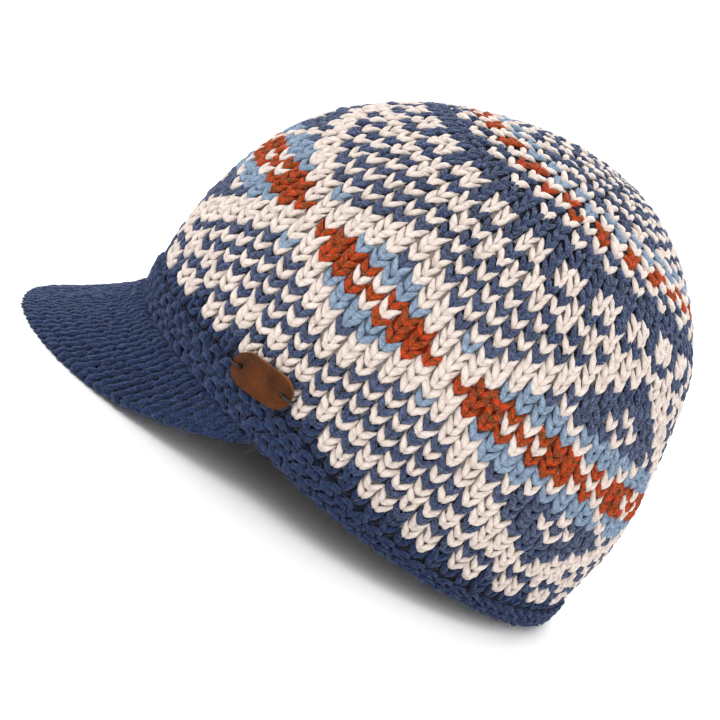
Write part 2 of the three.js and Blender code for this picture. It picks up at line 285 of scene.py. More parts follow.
@dataclass
class StrandTree:
    """A Geometry Nodes tree that lays one strand of yarn, or a pair, at each point of a mesh."""

    name: str
    shape: StrandShape
    scattered: bool = False
    hair_tilt: float = 0.3
    lump_scale: float = 460.0
    lump_height: float = 0.55
    make: TreeMaker = field(init=False)
    given: Any = field(init=False)

    def build(self) -> bpy.types.NodeTree:
        """Build the tree.

        Returns:
            The tree, with named inputs for the sizes, the spread and the seed.
        """
        tree = bpy.data.node_groups.new(self.name, "GeometryNodeTree")
        numbers = [("Stitch Width", 0.0067), ("Row Height", 0.0034), ("Yarn Thickness", 0.0026),
                   ("Turn Spread", 0.05), ("Size Spread", 0.05), ("Density", 1000.0)]
        tree.interface.new_socket("Geometry", in_out="INPUT", socket_type="NodeSocketGeometry")
        for label, value in numbers:
            given = tree.interface.new_socket(label, in_out="INPUT", socket_type="NodeSocketFloat")
            given.default_value = value
        tree.interface.new_socket("Seed", in_out="INPUT", socket_type="NodeSocketInt").default_value = 1
        tree.interface.new_socket("Finish", in_out="INPUT", socket_type="NodeSocketMaterial")
        tree.interface.new_socket("Geometry", in_out="OUTPUT", socket_type="NodeSocketGeometry")
        self.make = TreeMaker(tree)
        self.given = self.make.add("NodeGroupInput").outputs
        self.make.add("NodeGroupOutput", {"Geometry": self.laid()})
        return tree

    def strand(self) -> Socket:
        """Bend a grid round into the strand, closed at both ends, with its twin if it has one.

        Returns:
            The strand's geometry.
        """
        make, shape, thickness = self.make, self.shape, self.given["Yarn Thickness"]
        counts = {"Vertices X": shape.steps + 1, "Vertices Y": shape.sides + 1}
        grid, shares = make.add("GeometryNodeMeshGrid", counts).outputs
        mapped = make.add("GeometryNodeStoreNamedAttribute",
                          {"Geometry": grid, "Name": STRAND_MAP, "Value": shares},
                          data_type="FLOAT2", domain="CORNER").outputs[0]
        parts = make.add("ShaderNodeSeparateXYZ", {"Vector": shares}).outputs
        turn = make.math("MULTIPLY", parts[1], 2 * math.pi)
        across, along, rise, girth = (
            make.math("MULTIPLY", make.curve(parts[0], points), size) for points, size in (
                (shape.across, self.given["Stitch Width"]), (shape.along, self.given["Row Height"]),
                (shape.rise, thickness), (shape.girth, thickness)))
        side = make.math("MULTIPLY", make.math("COSINE", turn), girth)
        lift = make.math("MULTIPLY", make.math("MULTIPLY", make.math("SINE", turn), girth), shape.flatness)
        lean = math.radians(shape.lean)
        place = make.vector(make.math("MULTIPLY_ADD", side, math.cos(lean), across),
                            make.math("MULTIPLY_ADD", side, -math.sin(lean), along),
                            make.math("ADD", rise, lift))
        bent = make.add("GeometryNodeSetPosition", {"Geometry": mapped, "Position": place}).outputs[0]
        closed = make.add("GeometryNodeMergeByDistance", {"Geometry": bent, "Distance": 1e-6}).outputs[0]
        outward = make.add("GeometryNodeFlipFaces", {"Mesh": closed}).outputs[0]
        if shape.mirrored:
            twin = make.add("GeometryNodeTransform", {"Geometry": outward, "Scale": (-1, 1, 1)}).outputs[0]
            turned = make.add("GeometryNodeFlipFaces", {"Mesh": twin}).outputs[0]
            joined = make.add("GeometryNodeJoinGeometry", {"Geometry": outward})
            make.tree.links.new(turned, joined.inputs[0])
            outward = joined.outputs[0]
        return make.add("GeometryNodeSetShadeSmooth", {"Geometry": outward}).outputs[0]

    def places(self) -> tuple[Socket, Socket]:
        """Say where each strand goes and how it is turned.

        Returns:
            The points, and the turn at each of them.
        """
        make, given = self.make, self.given
        if self.scattered:
            spread = make.add("GeometryNodeDistributePointsOnFaces",
                              {"Mesh": given["Geometry"], "Density": given["Density"], "Seed": given["Seed"]})
            tilt = self.hair_tilt
            spin = make.random((-tilt, -tilt, 0), (tilt, tilt, 2 * math.pi), given["Seed"])
            return spread.outputs["Points"], self.turned(spread.outputs["Rotation"], spin)
        start = make.add("FunctionNodeEulerToRotation", {"Euler": make.stored("turn")}).outputs[0]
        low, high = make.math("MULTIPLY", given["Turn Spread"], -1), given["Turn Spread"]
        spin = make.random(make.vector(low, low, low), make.vector(high, high, high), given["Seed"])
        return given["Geometry"], self.turned(start, spin)

    def turned(self, start: Socket, spin: Socket) -> Socket:
        """Turn a rotation by three angles in its own frame.

        Args:
            start: the rotation.
            spin: the three angles, in radians.

        Returns:
            The turned rotation.
        """
        turn = self.make.add("FunctionNodeEulerToRotation", {"Euler": spin}).outputs[0]
        fed = {"Rotation": start, "Rotate By": turn}
        return self.make.add("FunctionNodeRotateRotation", fed, rotation_space="LOCAL").outputs[0]

    def laid(self) -> Socket:
        """Set a strand at each point, with a little spread in size and tone.

        Returns:
            The finished geometry.
        """
        make, given = self.make, self.given
        points, turn = self.places()
        low, high = make.math("SUBTRACT", 1, given["Size Spread"]), make.math("ADD", 1, given["Size Spread"])
        size = make.random(make.vector(low, low, low), make.vector(high, high, high),
                           make.math("ADD", given["Seed"], 1))
        if not self.scattered:
            fed = {"Vector": size, "Vector_001": make.stored("stretch")}
            size = make.add("ShaderNodeVectorMath", fed, operation="MULTIPLY").outputs[0]
        laid = make.add("GeometryNodeInstanceOnPoints", {
            "Points": points, "Instance": self.strand(), "Rotation": turn, "Scale": size}).outputs[0]
        tone = make.add("FunctionNodeRandomValue", {"Seed": make.math("ADD", given["Seed"], 2)},
                        data_type="FLOAT").outputs[1]
        toned = make.add("GeometryNodeStoreNamedAttribute",
                         {"Geometry": laid, "Name": STRAND_TONE, "Value": tone},
                         data_type="FLOAT", domain="INSTANCE").outputs[0]
        real = make.add("GeometryNodeRealizeInstances", {"Geometry": toned}).outputs[0]
        if not self.scattered:
            real = self.uneven(real)
        return make.add("GeometryNodeSetMaterial", {"Geometry": real, "Material": given["Finish"]}).outputs[0]

    def uneven(self, strands: Socket) -> Socket:
        """Make the strands thicker and thinner here and there, as spun wool is.

        Args:
            strands: the laid strands.

        Returns:
            The strands with their faces moved in and out.
        """
        make = self.make
        noise = make.add("ShaderNodeTexNoise", {"Scale": self.lump_scale, "Detail": 1.0}).outputs[0]
        swell = make.math("MULTIPLY", make.math("SUBTRACT", noise, 0.5), self.given["Yarn Thickness"])
        normal = make.add("GeometryNodeInputNormal").outputs[0]
        offset = make.add("ShaderNodeVectorMath",
                          {"Vector": normal, "Scale": make.math("MULTIPLY", swell, self.lump_height)},
                          operation="SCALE").outputs[0]
        return make.add("GeometryNodeSetPosition", {"Geometry": strands, "Offset": offset}).outputs[0]


@dataclass(frozen=True)
class Finish:
    """A finish of one of the cap's surfaces."""

    name: str

    @cached_property
    def material(self) -> bpy.types.Material:
        """The finish as a node material.

        Returns:
            The material, made once.
        """
        material = bpy.data.materials.new(self.name)
        material.use_nodes = True
        self.dress(TreeMaker(material.node_tree), material.node_tree.nodes["Principled BSDF"])
        return material

    def dress(self, make: TreeMaker, shader: bpy.types.Node) -> None:
        """Feed the material's shader. Each finish has its own way."""
        raise NotImplementedError


@dataclass
class StrandMap:
    """What a material reads of the strand that it covers."""

    make: TreeMaker
    twist: float

    def __post_init__(self) -> None:
        """Read the shares along and round the strand, its random tone and the piece's own coordinates."""
        uv_map = self.make.add("ShaderNodeUVMap", uv_map=STRAND_MAP).outputs[0]
        self.along, self.round, _ = self.make.add("ShaderNodeSeparateXYZ", {"Vector": uv_map}).outputs
        self.tone = self.make.add("ShaderNodeAttribute", attribute_name=STRAND_TONE).outputs["Fac"]
        self.place = self.make.own_place()

    def plies(self, count: int) -> Socket:
        """The rounded plies that wind round the strand.

        Args:
            count: how many there are.

        Returns:
            Height of the plies, 0 in the hollow between them to 1.
        """
        turns = self.make.math("MULTIPLY_ADD", self.along, self.twist * count, self.tone)
        phase = self.make.math("MULTIPLY_ADD", self.round, float(count), turns)
        wave = self.make.math("ABSOLUTE", self.make.math("SINE", self.make.math("MULTIPLY", phase, math.pi)))
        return self.make.math("POWER", wave, 0.5)

    def wound(self, cells: tuple[float, float, float], scale: float, detail: float) -> Socket:
        """Noise that follows the twist of the plies and differs from strand to strand.

        Args:
            cells: how fast it changes along the strand, round it and from one to the next.
            scale: the noise's scale.
            detail: the noise's detail.

        Returns:
            The noise, about 0.5.
        """
        turned = self.make.math("MULTIPLY_ADD", self.along, self.twist, self.round)
        parts = (self.along, turned, self.tone)
        where = [self.make.math("MULTIPLY", part, cell) for part, cell in zip(parts, cells)]
        return self.make.noise(self.make.vector(*where), scale, detail)

    def stray(self) -> Socket:
        """Short stray fibres that lie over the yarn in every direction.

        Returns:
            Where a fibre lies, 0 to 1.
        """
        make = self.make
        cloud = {"Vector": self.place, "Scale": 260.0, "Detail": 1.0}
        bent = {"Vector": make.add("ShaderNodeTexNoise", cloud).outputs[1], "Scale": 0.006}
        moved = make.add("ShaderNodeVectorMath", bent, operation="SCALE").outputs[0]
        where = make.add("ShaderNodeVectorMath", {"Vector": self.place, "Vector_001": moved},
                         operation="ADD").outputs[0]
        return make.stretch(make.cells(where, 700.0), 0.09, 0.01)


@dataclass(frozen=True)
class WoolFinish(Finish):
    """Plump plied wool, seen strand by strand, with its colours as a screen shows them; grooves painted as
    shade.
    """

    body: Colour
    shade: Colour
    fuzz_sheen: Colour
    fleck: Colour | None = None
    fuzz: float = 0.35
    sheen: float = 0.15
    plies: int = 2
    twist: float = 0.9
    groove_shade: float = 0.5
    fibres: float = 0.35
    tones: float = 0.2
    grains: float = 0.5
    darkening: float = 0.4
    fleck_share: float = 0.5
    fleck_edge: float = 0.05
    fleck_strength: float = 0.95

    def dress(self, make: TreeMaker, shader: bpy.types.Node) -> None:
        """Feed the shader from the strand's own map.

        Args:
            make: the material's maker.
            shader: the material's shader.
        """
        strand = StrandMap(make, self.twist)
        ply, stray = strand.plies(self.plies), strand.stray()
        streak = make.stretch(strand.wound((2.5, 15.0, 40.0), 1.6, 3.0), 0.34, 0.66)
        grain = make.stretch(make.add("ShaderNodeTexNoise", {
            "Vector": strand.place, "Scale": 1500.0, "Detail": 4.0, "Roughness": 0.7}).outputs[0], 0.36, 0.64)
        # The colour runs from shade to body with plies, fibres, tone and grain: darker grooves are painted
        # shade, the rest uneven tone.
        light = make.math("MULTIPLY_ADD", ply, self.groove_shade, make.math("MULTIPLY", streak, self.fibres))
        light = make.math("MULTIPLY_ADD", strand.tone, self.tones, light)
        light = make.math("MULTIPLY_ADD", grain, self.grains, make.math("SUBTRACT", light, self.darkening))
        clear = make.add("ShaderNodeClamp", {"Value": light}).outputs[0]
        colour = make.mix(clear, linear(self.shade), linear(self.body))
        if self.fleck:
            edge = 1 - self.fleck_share
            share = make.add("ShaderNodeMapRange", {
                "Value": strand.wound((3.2, 7.5, 90.0), 1.7, 2.0), "From Min": edge,
                "From Max": edge + self.fleck_edge, "To Max": self.fleck_strength}).outputs[0]
            colour = make.mix(share, colour, linear(self.fleck))
        # Stray fibres take the paler fuzz colour: partly the fibres' own paler tone, partly painted sheen of
        # light on the fuzz.
        colour = make.mix(make.math("MULTIPLY", stray, self.fuzz), colour, linear(self.fuzz_sheen))
        height = make.math("MULTIPLY_ADD", streak, 0.4, make.math("MULTIPLY_ADD", grain, 0.4, ply))
        height = make.math("MULTIPLY_ADD", stray, 0.25, height)
        make.feed(shader, {
            "Base Color": colour, "Normal": make.bump(height, 0.7, 0.0004), "Roughness": 0.95,
            "Specular IOR Level": 0.1, "Sheen Weight": self.sheen, "Sheen Roughness": 0.6,
            "Sheen Tint": linear(tuple((value + 255) / 2 for value in self.fuzz_sheen))})


WOOL = {
    Yarn.CREAM: WoolFinish("cream_wool", (240, 227, 218), (198, 179, 167), (252, 246, 243), fuzz=0.25),
    Yarn.RUST: WoolFinish("rust_wool", (204, 58, 10), (118, 33, 5), (222, 120, 84), (84, 59, 15), fuzz=0.24,
                          sheen=0.12, groove_shade=0.7, fleck_share=0.51),
    Yarn.SKY: WoolFinish("sky_wool", (148, 168, 190), (74, 98, 126), (190, 204, 216), (108, 128, 154),
                         groove_shade=0.65),
    Yarn.DENIM: WoolFinish("denim_wool", (58, 68, 96), (22, 28, 50), (108, 120, 146), (84, 94, 128),
                           sheen=0.3, fleck_share=0.48),
    Yarn.INK: WoolFinish("ink_wool", (31, 43, 76), (10, 16, 38), (116, 132, 168), (50, 64, 102), fuzz=0.45,
                         sheen=0.35, fleck_share=0.47),
    Yarn.NAVY: WoolFinish("navy_wool", (13, 30, 67), (4, 10, 32), (68, 94, 146), (25, 43, 83), fuzz=0.38,
                          sheen=0.4, fleck_share=0.46),
}


@dataclass(frozen=True)
class GroundFinish(Finish):
    """The cloth under the stitches, in one colour or the tint each patch carries: painted shade, darker than
    its yarn.
    """

    colour: Colour | None = None

    def dress(self, make: TreeMaker, shader: bpy.types.Node) -> None:
        """Feed the shader from coarse and fine noise.

        Args:
            make: the material's maker.
            shader: the material's shader.
        """
        where = make.own_place()
        coarse, fine = make.noise(where, 420.0, 4.0), make.noise(where, 1700.0, 3.0)
        # Darker where the noise is low, where its bumps are low too: painted shade.
        both = make.math("MULTIPLY_ADD", fine, 0.5, make.math("MULTIPLY", coarse, 0.7))
        if self.colour:
            dark, light = linear(shaded(self.colour, GROUND_PAINTED_SHADE)), linear(self.colour)
        else:
            light = make.add("ShaderNodeAttribute", attribute_name=CLOTH_SHADED_TINT).outputs["Color"]
            dark = make.mix(0.5, light, (0, 0, 0, 1))
        make.feed(shader, {
            "Base Color": make.mix(both, dark, light), "Normal": make.bump(both, 0.7, 0.0005),
            "Roughness": 0.95, "Specular IOR Level": 0.12, "Sheen Weight": 0.15})


@dataclass(frozen=True)
class FibreFinish(Finish):
    """Loose hairs of the wool, a little lighter and darker from hair to hair."""

    colour: Colour

    def dress(self, make: TreeMaker, shader: bpy.types.Node) -> None:
        """Feed the shader from each hair's random tone.

        Args:
            make: the material's maker.
            shader: the material's shader.
        """
        tone = make.add("ShaderNodeAttribute", attribute_name=STRAND_TONE).outputs["Fac"]
        mixed = make.mix(tone, linear(shaded(self.colour, 0.72)), linear(self.colour))
        make.feed(shader, {"Base Color": mixed, "Roughness": 0.6, "Sheen Weight": 0.4})


@dataclass(frozen=True)
class LeatherFinish(Finish):
    """Waxed brown leather, with a fine grain and darker clouds."""

    colour: Colour
    dark: Colour
    grain: float = 2600.0
    roughness: float = 0.52

    def dress(self, make: TreeMaker, shader: bpy.types.Node) -> None:
        """Feed the shader from the grain's creases, clouds and specks.

        Args:
            make: the material's maker.
            shader: the material's shader.
        """
        where = make.own_place()
        cloud, speck = make.noise(where, 160.0, 5.0), make.noise(where, 900.0, 4.0)
        mottle = make.stretch(make.math("MULTIPLY_ADD", speck, 0.4, cloud), 0.5, 0.92)
        crease = make.stretch(make.cells(where, self.grain), 0.0, 0.25)
        height = make.math("MULTIPLY_ADD", crease, 0.6, make.math("MULTIPLY", speck, 0.5))
        make.feed(shader, {
            "Base Color": make.mix(mottle, linear(self.dark), linear(self.colour)),
            "Normal": make.bump(height, 0.35, 0.00012), "Roughness": self.roughness,
            "Specular IOR Level": 0.12})


@dataclass(frozen=True)
class ThreadFinish(Finish):
    """Waxed sewing thread, twisted from fine strands."""

    colour: Colour

    def dress(self, make: TreeMaker, shader: bpy.types.Node) -> None:
        """Feed the shader from slanting waves.

        Args:
            make: the material's maker.
            shader: the material's shader.
        """
        slant = {"Vector": make.own_place(), "Rotation": (0.5, 0.6, 0.8)}
        turned = make.add("ShaderNodeMapping", slant).outputs[0]
        waves = {"Vector": turned, "Scale": 900.0, "Distortion": 1.2, "Detail": 2.0}
        wave = make.add("ShaderNodeTexWave", waves).outputs[1]
        # The colour darkens where the waves and so the bumps are low, in the twist's grooves: painted shade.
        make.feed(shader, {
            "Base Color": make.mix(wave, linear(shaded(self.colour, 0.5)), linear(self.colour)),
            "Normal": make.bump(wave, 0.5, 0.0001), "Roughness": 0.6})


def placed(name: str, data: Any) -> bpy.types.Object:
    """Put a new object with its data into the scene."""
    made = bpy.data.objects.new(name, data)
    bpy.context.scene.collection.objects.link(made)
    return made


def closed_mesh(name: str, points: np.ndarray, faces: list[list[int]]) -> bpy.types.Object:
    """Make an object of one closed body, with its faces turned outward.

    Args:
        name: the object's name.
        points: corners in millimetres, in the resting frame.
        faces: corner numbers of each face.

    Returns:
        The object, in the scene.
    """
    mesh = bpy.data.meshes.new(name)
    mesh.from_pydata((points * MM).tolist(), [], faces)
    mesh.calc_loop_triangles()
    corners = np.array([triangle.vertices for triangle in mesh.loop_triangles])
    first, second, third = (points[corners[:, k]] for k in range(3))
    if (first * np.cross(second, third)).sum() < 0:
        mesh.flip_normals()
    mesh.shade_smooth()
    return placed(name, mesh)


def sheet_faces(rows: int, count: int, wrapped: bool) -> list[list[int]]:
    """Face lists for a grid of points.

    Args:
        rows: how many rows.
        count: points in each row.
        wrapped: whether each row's last point joins its first.

    Returns:
        Corner numbers of each face.
    """
    faces = []
    for low in range(0, (rows - 1) * count, count):
        for i in range(count if wrapped else count - 1):
            j = (i + 1) % count
            faces.append([low + i, low + j, low + count + j, low + count + i])
    return faces


def loop_faces(loops: int, count: int, joined: bool) -> list[list[int]]:
    """Face lists for a closed body of loops that follow each other.

    Args:
        loops: how many loops.
        count: points in each loop.
        joined: whether the last loop joins the first; otherwise both ends are closed with one face each.

    Returns:
        Corner numbers of each face.
    """
    if joined:
        return [[corner % (loops * count) for corner in face] for face in sheet_faces(loops + 1, count, True)]
    ends = [list(range(count))[::-1], [(loops - 1) * count + i for i in range(count)]]
    return sheet_faces(loops, count, True) + ends


def open_mesh(name: str, grid: np.ndarray, wrapped: bool) -> bpy.types.Mesh:
    """Make a sheet from a grid of points in millimetres, rows by columns.

    Args:
        name: the mesh's name.
        grid: points in millimetres, rows by columns.
        wrapped: whether each row's last point joins its first.

    Returns:
        The mesh.
    """
    mesh = bpy.data.meshes.new(name)
    mesh.from_pydata((grid.reshape(-1, 3) * MM).tolist(), [], sheet_faces(*grid.shape[:2], wrapped))
    return mesh


def unit(vectors: np.ndarray) -> np.ndarray:
    """Give vectors a length of 1."""
    return vectors / np.maximum(np.linalg.norm(vectors, axis=-1, keepdims=True), 1e-12)


def lengths_along(lines: np.ndarray) -> np.ndarray:
    """How far along its line each point is."""
    steps = np.linalg.norm(np.diff(lines, axis=-2), axis=-1)
    return np.concatenate([np.zeros_like(steps[..., :1]), np.cumsum(steps, -1)], -1)


def all_round(count: int) -> np.ndarray:
    """Angles evenly all round, in radians."""
    return np.linspace(0, 2 * math.pi, count, endpoint=False)


@dataclass(frozen=True)
class Drape:
    """A curved face for flat stitches: x counts wales, y is a length along them and z stands out."""

    face: np.ndarray
    step: float
    low: float
    wrapped: bool

    @staticmethod
    def over(lines: np.ndarray, zero: np.ndarray, step: float, span: Point, wrapped: bool) -> "Drape":
        """Measure a face off along its lines.

        Args:
            lines: points of the face in millimetres, line by line.
            zero: each line's own length at which y is 0.
            step: wales from line to line.
            span: lowest and highest y.
            wrapped: whether the last line joins the first.

        Returns:
            The face, its lines going on straight where they are too short.
        """
        marks = np.arange(span[0], span[1] + DRAPE_RISE, DRAPE_RISE)
        measured = []
        for line, length in zip(lines, lengths_along(lines) - zero[:, None]):
            points = np.stack([np.interp(marks, length, line[:, k]) for k in range(3)], 1)
            before = np.minimum(marks - length[0], 0)[:, None] * unit(line[1] - line[0])
            beyond = np.maximum(marks - length[-1], 0)[:, None] * unit(line[-1] - line[-2])
            measured.append(points + before + beyond)
        return Drape(np.array(measured), step, span[0], wrapped)

    @cached_property
    def out(self) -> np.ndarray:
        """Directions out of the face at its points.

        Returns:
            Unit vectors.
        """
        if self.wrapped:
            side = np.roll(self.face, -1, 0) - np.roll(self.face, 1, 0)
        else:
            side = np.gradient(self.face, axis=0)
        return unit(np.cross(side, np.gradient(self.face, axis=1)))

    def lay(self, flat: np.ndarray, wale: float) -> np.ndarray:
        """Bend flat points onto the face.

        Args:
            flat: points in metres, x across, y along and z out.
            wale: width of a wale in the flat, in metres.

        Returns:
            Points in metres, in the resting frame.
        """
        count, marks = self.face.shape[:2]
        x = flat[:, 0] / wale / self.step
        y = np.clip((flat[:, 1] / MM - self.low) / DRAPE_RISE, 0, marks - 1.001)
        x = x % count if self.wrapped else np.clip(x, 0, count - 1.001)
        i, j = np.floor(x).astype(int), np.floor(y).astype(int)
        u, v = (x - i)[:, None], (y - j)[:, None]
        near = (i + 1) % count if self.wrapped else i + 1
        point, out = (
            (field[i, j] * (1 - u) + field[near, j] * u) * (1 - v)
            + (field[i, j + 1] * (1 - u) + field[near, j + 1] * u) * v for field in (self.face, self.out))
        return point * MM + unit(out) * flat[:, 2:]


@dataclass
class StitchField:
    """Places, directions and sizes for stitches of one yarn, gathered before they are laid."""

    places: list[np.ndarray] = field(default_factory=list)
    turns: list[tuple[float, float, float]] = field(default_factory=list)
    stretches: list[tuple[float, float, float]] = field(default_factory=list)

    def put(self, place: np.ndarray, across: np.ndarray, out: np.ndarray,
            stretch: tuple[float, float, float]) -> None:
        """Add one stitch.

        Args:
            place: its middle, in millimetres, in the resting frame.
            across: the direction across the stitch.
            out: the direction out of the cloth.
            stretch: its size across, along and out, against the tree's sizes.
        """
        rise = unit(out)
        side = unit(across - rise * float(across @ rise))
        axes = Matrix((side, np.cross(rise, side), rise)).transposed()
        self.places.append(place * MM)
        self.turns.append(tuple(axes.to_euler()))
        self.stretches.append(stretch)

    def put_flat(self, x: float, y: float, length: float = 1.0) -> None:
        """Add one stitch that lies flat until it is draped, its place in millimetres."""
        self.put(np.array([x, y, 0]), np.array([1.0, 0, 0]), np.array([0, 0, 1.0]), (1.0, length, 1.0))

    def lay(self, name: str, tree: bpy.types.NodeTree, sizes: dict[str, float], seed: int,
            finish: bpy.types.Material, drape: Drape | None = None) -> bpy.types.Object:
        """Lay the stitches as one plain mesh.

        Args:
            name: the piece's name.
            tree: the strand's Geometry Nodes tree.
            sizes: the tree's sizes, in metres, by input name.
            seed: seed of the small differences from stitch to stitch.
            finish: the yarn's material.
            drape: the face that flat stitches are bent onto.

        Returns:
            The piece.
        """
        mesh = bpy.data.meshes.new(name)
        mesh.from_pydata([tuple(place) for place in self.places], [], [])
        for label, values in (("turn", self.turns), ("stretch", self.stretches)):
            made = mesh.attributes.new(label, "FLOAT_VECTOR", "POINT")
            made.data.foreach_set("vector", np.array(values, np.float32).ravel())
        return grown(name, mesh, tree, sizes, seed, finish, drape)


def grown(name: str, mesh: bpy.types.Mesh, tree: bpy.types.NodeTree, sizes: dict[str, float], seed: int,
          finish: bpy.types.Material, drape: Drape | None = None) -> bpy.types.Object:
    """Run a Geometry Nodes tree on a mesh and keep the result as a plain mesh, pressed flat where it rests.

    Args:
        name: the piece's name.
        mesh: what the tree works on.
        tree: the tree.
        sizes: values of its inputs, by name.
        seed: value of its seed.
        finish: the material it sets.
        drape: the face that a flat result is bent onto.

    Returns:
        The piece, without the modifier.
    """
    piece = placed(name, mesh)
    modifier = piece.modifiers.new("Stitches", "NODES")
    modifier.node_group = tree
    for item in tree.interface.items_tree:
        if item.in_out != "INPUT" or item.socket_type == "NodeSocketGeometry":
            continue
        if item.name == "Seed":
            modifier[item.identifier] = seed
        elif item.name == "Finish":
            modifier[item.identifier] = finish
        elif item.name in sizes:
            modifier[item.identifier] = float(sizes[item.name])
    graph = bpy.context.evaluated_depsgraph_get()
    result = bpy.data.meshes.new_from_object(piece.evaluated_get(graph), preserve_all_data_layers=True,
                                             depsgraph=graph)
    piece.modifiers.remove(modifier)
    place = np.empty(len(result.vertices) * 3, np.float32)
    result.vertices.foreach_get("co", place)
    if drape:
        place = drape.lay(place.reshape(-1, 3), sizes["Stitch Width"]).astype(np.float32).ravel()
    height = place[2::3]
    place[2::3] = np.where(height < PRESSED, PRESSED * np.exp(height / PRESSED - 1), height)
    result.vertices.foreach_set("co", place)
    piece.data = result
    result.name = name
    bpy.data.meshes.remove(mesh)
    return piece


def keep(piece: bpy.types.Object, slot: str, *nodes: str) -> bpy.types.Object:
    """Hand a finished piece to the frame.

    Args:
        piece: the piece.
        slot: a material slot's name; not used.
        *nodes: CAD nodes that it stands for.

    Returns:
        The same piece.
    """
    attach(piece, BODY)
    if nodes:
        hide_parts(*nodes)
    LOG.info("%s: %d faces", piece.name, len(piece.data.polygons))
    return piece


@dataclass(frozen=True)
class CapForm:
    """Outer form of the cap and the way it rests, in millimetres and degrees."""

    rows: tuple[tuple[float, float, float, float], ...] = (
        (0, 100.8, 82.5, 0), (20, 102.6, 86.5, -2), (38, 102.4, 89, -3), (54, 100, 89.8, -4),
        (68, 96, 88, -5), (81.5, 91, 84.3, -5), (94.5, 84.5, 78, -3.5), (107.5, 75.5, 68.8, -1),
        (120, 62.5, 56, 1), (132, 44, 38.5, 4), (140, 25, 22, 6), (143.5, 8, 7, 7.5))
    samples: int = 480
    wall: float = 4.5
    gap: float = 0.3
    tilt: float = 8
    lift: float = 13
    slide: float = 16.3
    clearance: float = 0.05
    rim_points: int = 1441

    @cached_property
    def meridian(self) -> np.ndarray:
        """Rows of wall length, half length, half width, height and shift, from the rim to the top.

        Returns:
            The rows.
        """
        table = np.array(self.rows, float)
        sized = self.through(table[:, [1, 2, 0]])
        shifted = self.through(np.stack([table[:, 3], np.zeros(len(table)), table[:, 0]], 1))
        steps = np.hypot(np.diff(sized[:, 0]), np.diff(sized[:, 2]))
        length = np.concatenate([[0], np.cumsum(steps)])
        return np.stack([length, sized[:, 0], sized[:, 1], sized[:, 2], shifted[:, 0]], 1)

    def through(self, points: np.ndarray) -> np.ndarray:
        """Run a centripetal curve through points.

        Args:
            points: the points, one a row.

        Returns:
            Evenly stepped points of the curve.
        """
        full = np.vstack([2 * points[0] - points[1], points, 2 * points[-1] - points[-2]])
        at = np.linspace(0, len(points) - 1, self.samples + 1)
        k = np.minimum(at.astype(int), len(points) - 2)
        share = (at - k)[:, None]
        p0, p1, p2, p3 = (full[k + i] for i in range(4))
        d0, d1, d2 = (np.maximum(np.sum((b - a) ** 2, 1, keepdims=True) ** 0.25, 1e-4)
                      for a, b in ((p0, p1), (p1, p2), (p2, p3)))
        start = ((p1 - p0) / d0 - (p2 - p0) / (d0 + d1) + (p2 - p1) / d1) * d1
        end = ((p2 - p1) / d1 - (p3 - p1) / (d1 + d2) + (p3 - p2) / d2) * d1
        return (p1 + start * share + (3 * (p2 - p1) - 2 * start - end) * share ** 2
                + (2 * (p1 - p2) + start + end) * share ** 3)

    @property
    def top(self) -> float:
        """Wall length from the rim to the closed top."""
        return float(self.meridian[-1, 0])

    def outer(self, length: np.ndarray, angle: np.ndarray) -> np.ndarray:
        """Points of the outer face.

        Args:
            length: wall lengths up from the rim.
            angle: angles round from the front, in radians.

        Returns:
            Points in the cap's own frame.
        """
        length, angle = np.broadcast_arrays(np.asarray(length, float), np.asarray(angle, float))
        half_length, half_width, height, shift = (
            np.interp(length, self.meridian[:, 0], self.meridian[:, k]) for k in range(1, 5))
        height = np.where(length < 0, length, height)
        return np.stack([half_width * np.sin(angle), shift - half_length * np.cos(angle), height], -1)

    def axes(self, length: np.ndarray, angle: np.ndarray) -> tuple[np.ndarray, np.ndarray, np.ndarray]:
        """Directions on the outer face: round, up and out.

        Args:
            length: wall lengths up from the rim.
            angle: angles round from the front, in radians.

        Returns:
            Three unit vectors for each place, in the cap's own frame.
        """
        length, angle = np.broadcast_arrays(np.asarray(length, float), np.asarray(angle, float))
        around = unit(self.outer(length, angle + 0.01) - self.outer(length, angle - 0.01))
        up = unit(self.outer(length + 0.5, angle) - self.outer(length - 0.5, angle))
        out = unit(np.cross(around, up))
        return around, np.cross(out, around), out

    def wall_point(self, length: np.ndarray, angle: np.ndarray, depth: float) -> np.ndarray:
        """Points at a depth in from the outer face."""
        return self.outer(length, angle) - self.axes(length, angle)[2] * depth

    def turned(self, vectors: np.ndarray) -> np.ndarray:
        """Turn directions from the cap's own frame to the resting frame.

        Args:
            vectors: directions in the cap's own frame.

        Returns:
            The same directions where the cap rests.
        """
        c, s = math.cos(math.radians(self.tilt)), math.sin(math.radians(self.tilt))
        return np.stack([vectors[..., 0], vectors[..., 1] * c + vectors[..., 2] * s,
                         vectors[..., 2] * c - vectors[..., 1] * s], -1)

    def moved(self, points: np.ndarray) -> np.ndarray:
        """Move points from the cap's own frame to the resting frame."""
        return self.turned(points) + np.array([0.0, self.slide, self.lift])

    def rested(self, points: np.ndarray) -> np.ndarray:
        """Move points to the resting frame, and press flat what lies on the surface.

        Args:
            points: points in the cap's own frame.

        Returns:
            The points where they rest.
        """
        moved = self.moved(points)
        moved[..., 2] = np.maximum(moved[..., 2], self.clearance)
        return moved

    @cached_property
    def round_table(self) -> tuple[np.ndarray, np.ndarray]:
        """Shares of the way round the rim and their angles.

        Returns:
            The shares, and the angles.
        """
        angle = np.linspace(-math.pi, math.pi, self.rim_points)
        step = np.hypot(self.rows[1][2] * np.cos(angle), self.rows[1][1] * np.sin(angle))
        share = np.cumsum(step) - step / 2
        share -= np.interp(0, angle, share)
        return share / (share[-1] - share[0]), angle

    def angle_at(self, share: np.ndarray) -> np.ndarray:
        """The angle at a share of the way round, with the front at 0.

        Args:
            share: shares of the way round the rim.

        Returns:
            Angles, in radians.
        """
        table, angle = self.round_table
        share = (np.asarray(share, float) + 0.5) % 1.0 - 0.5
        return np.interp(share, table, angle)


FORM = CapForm()


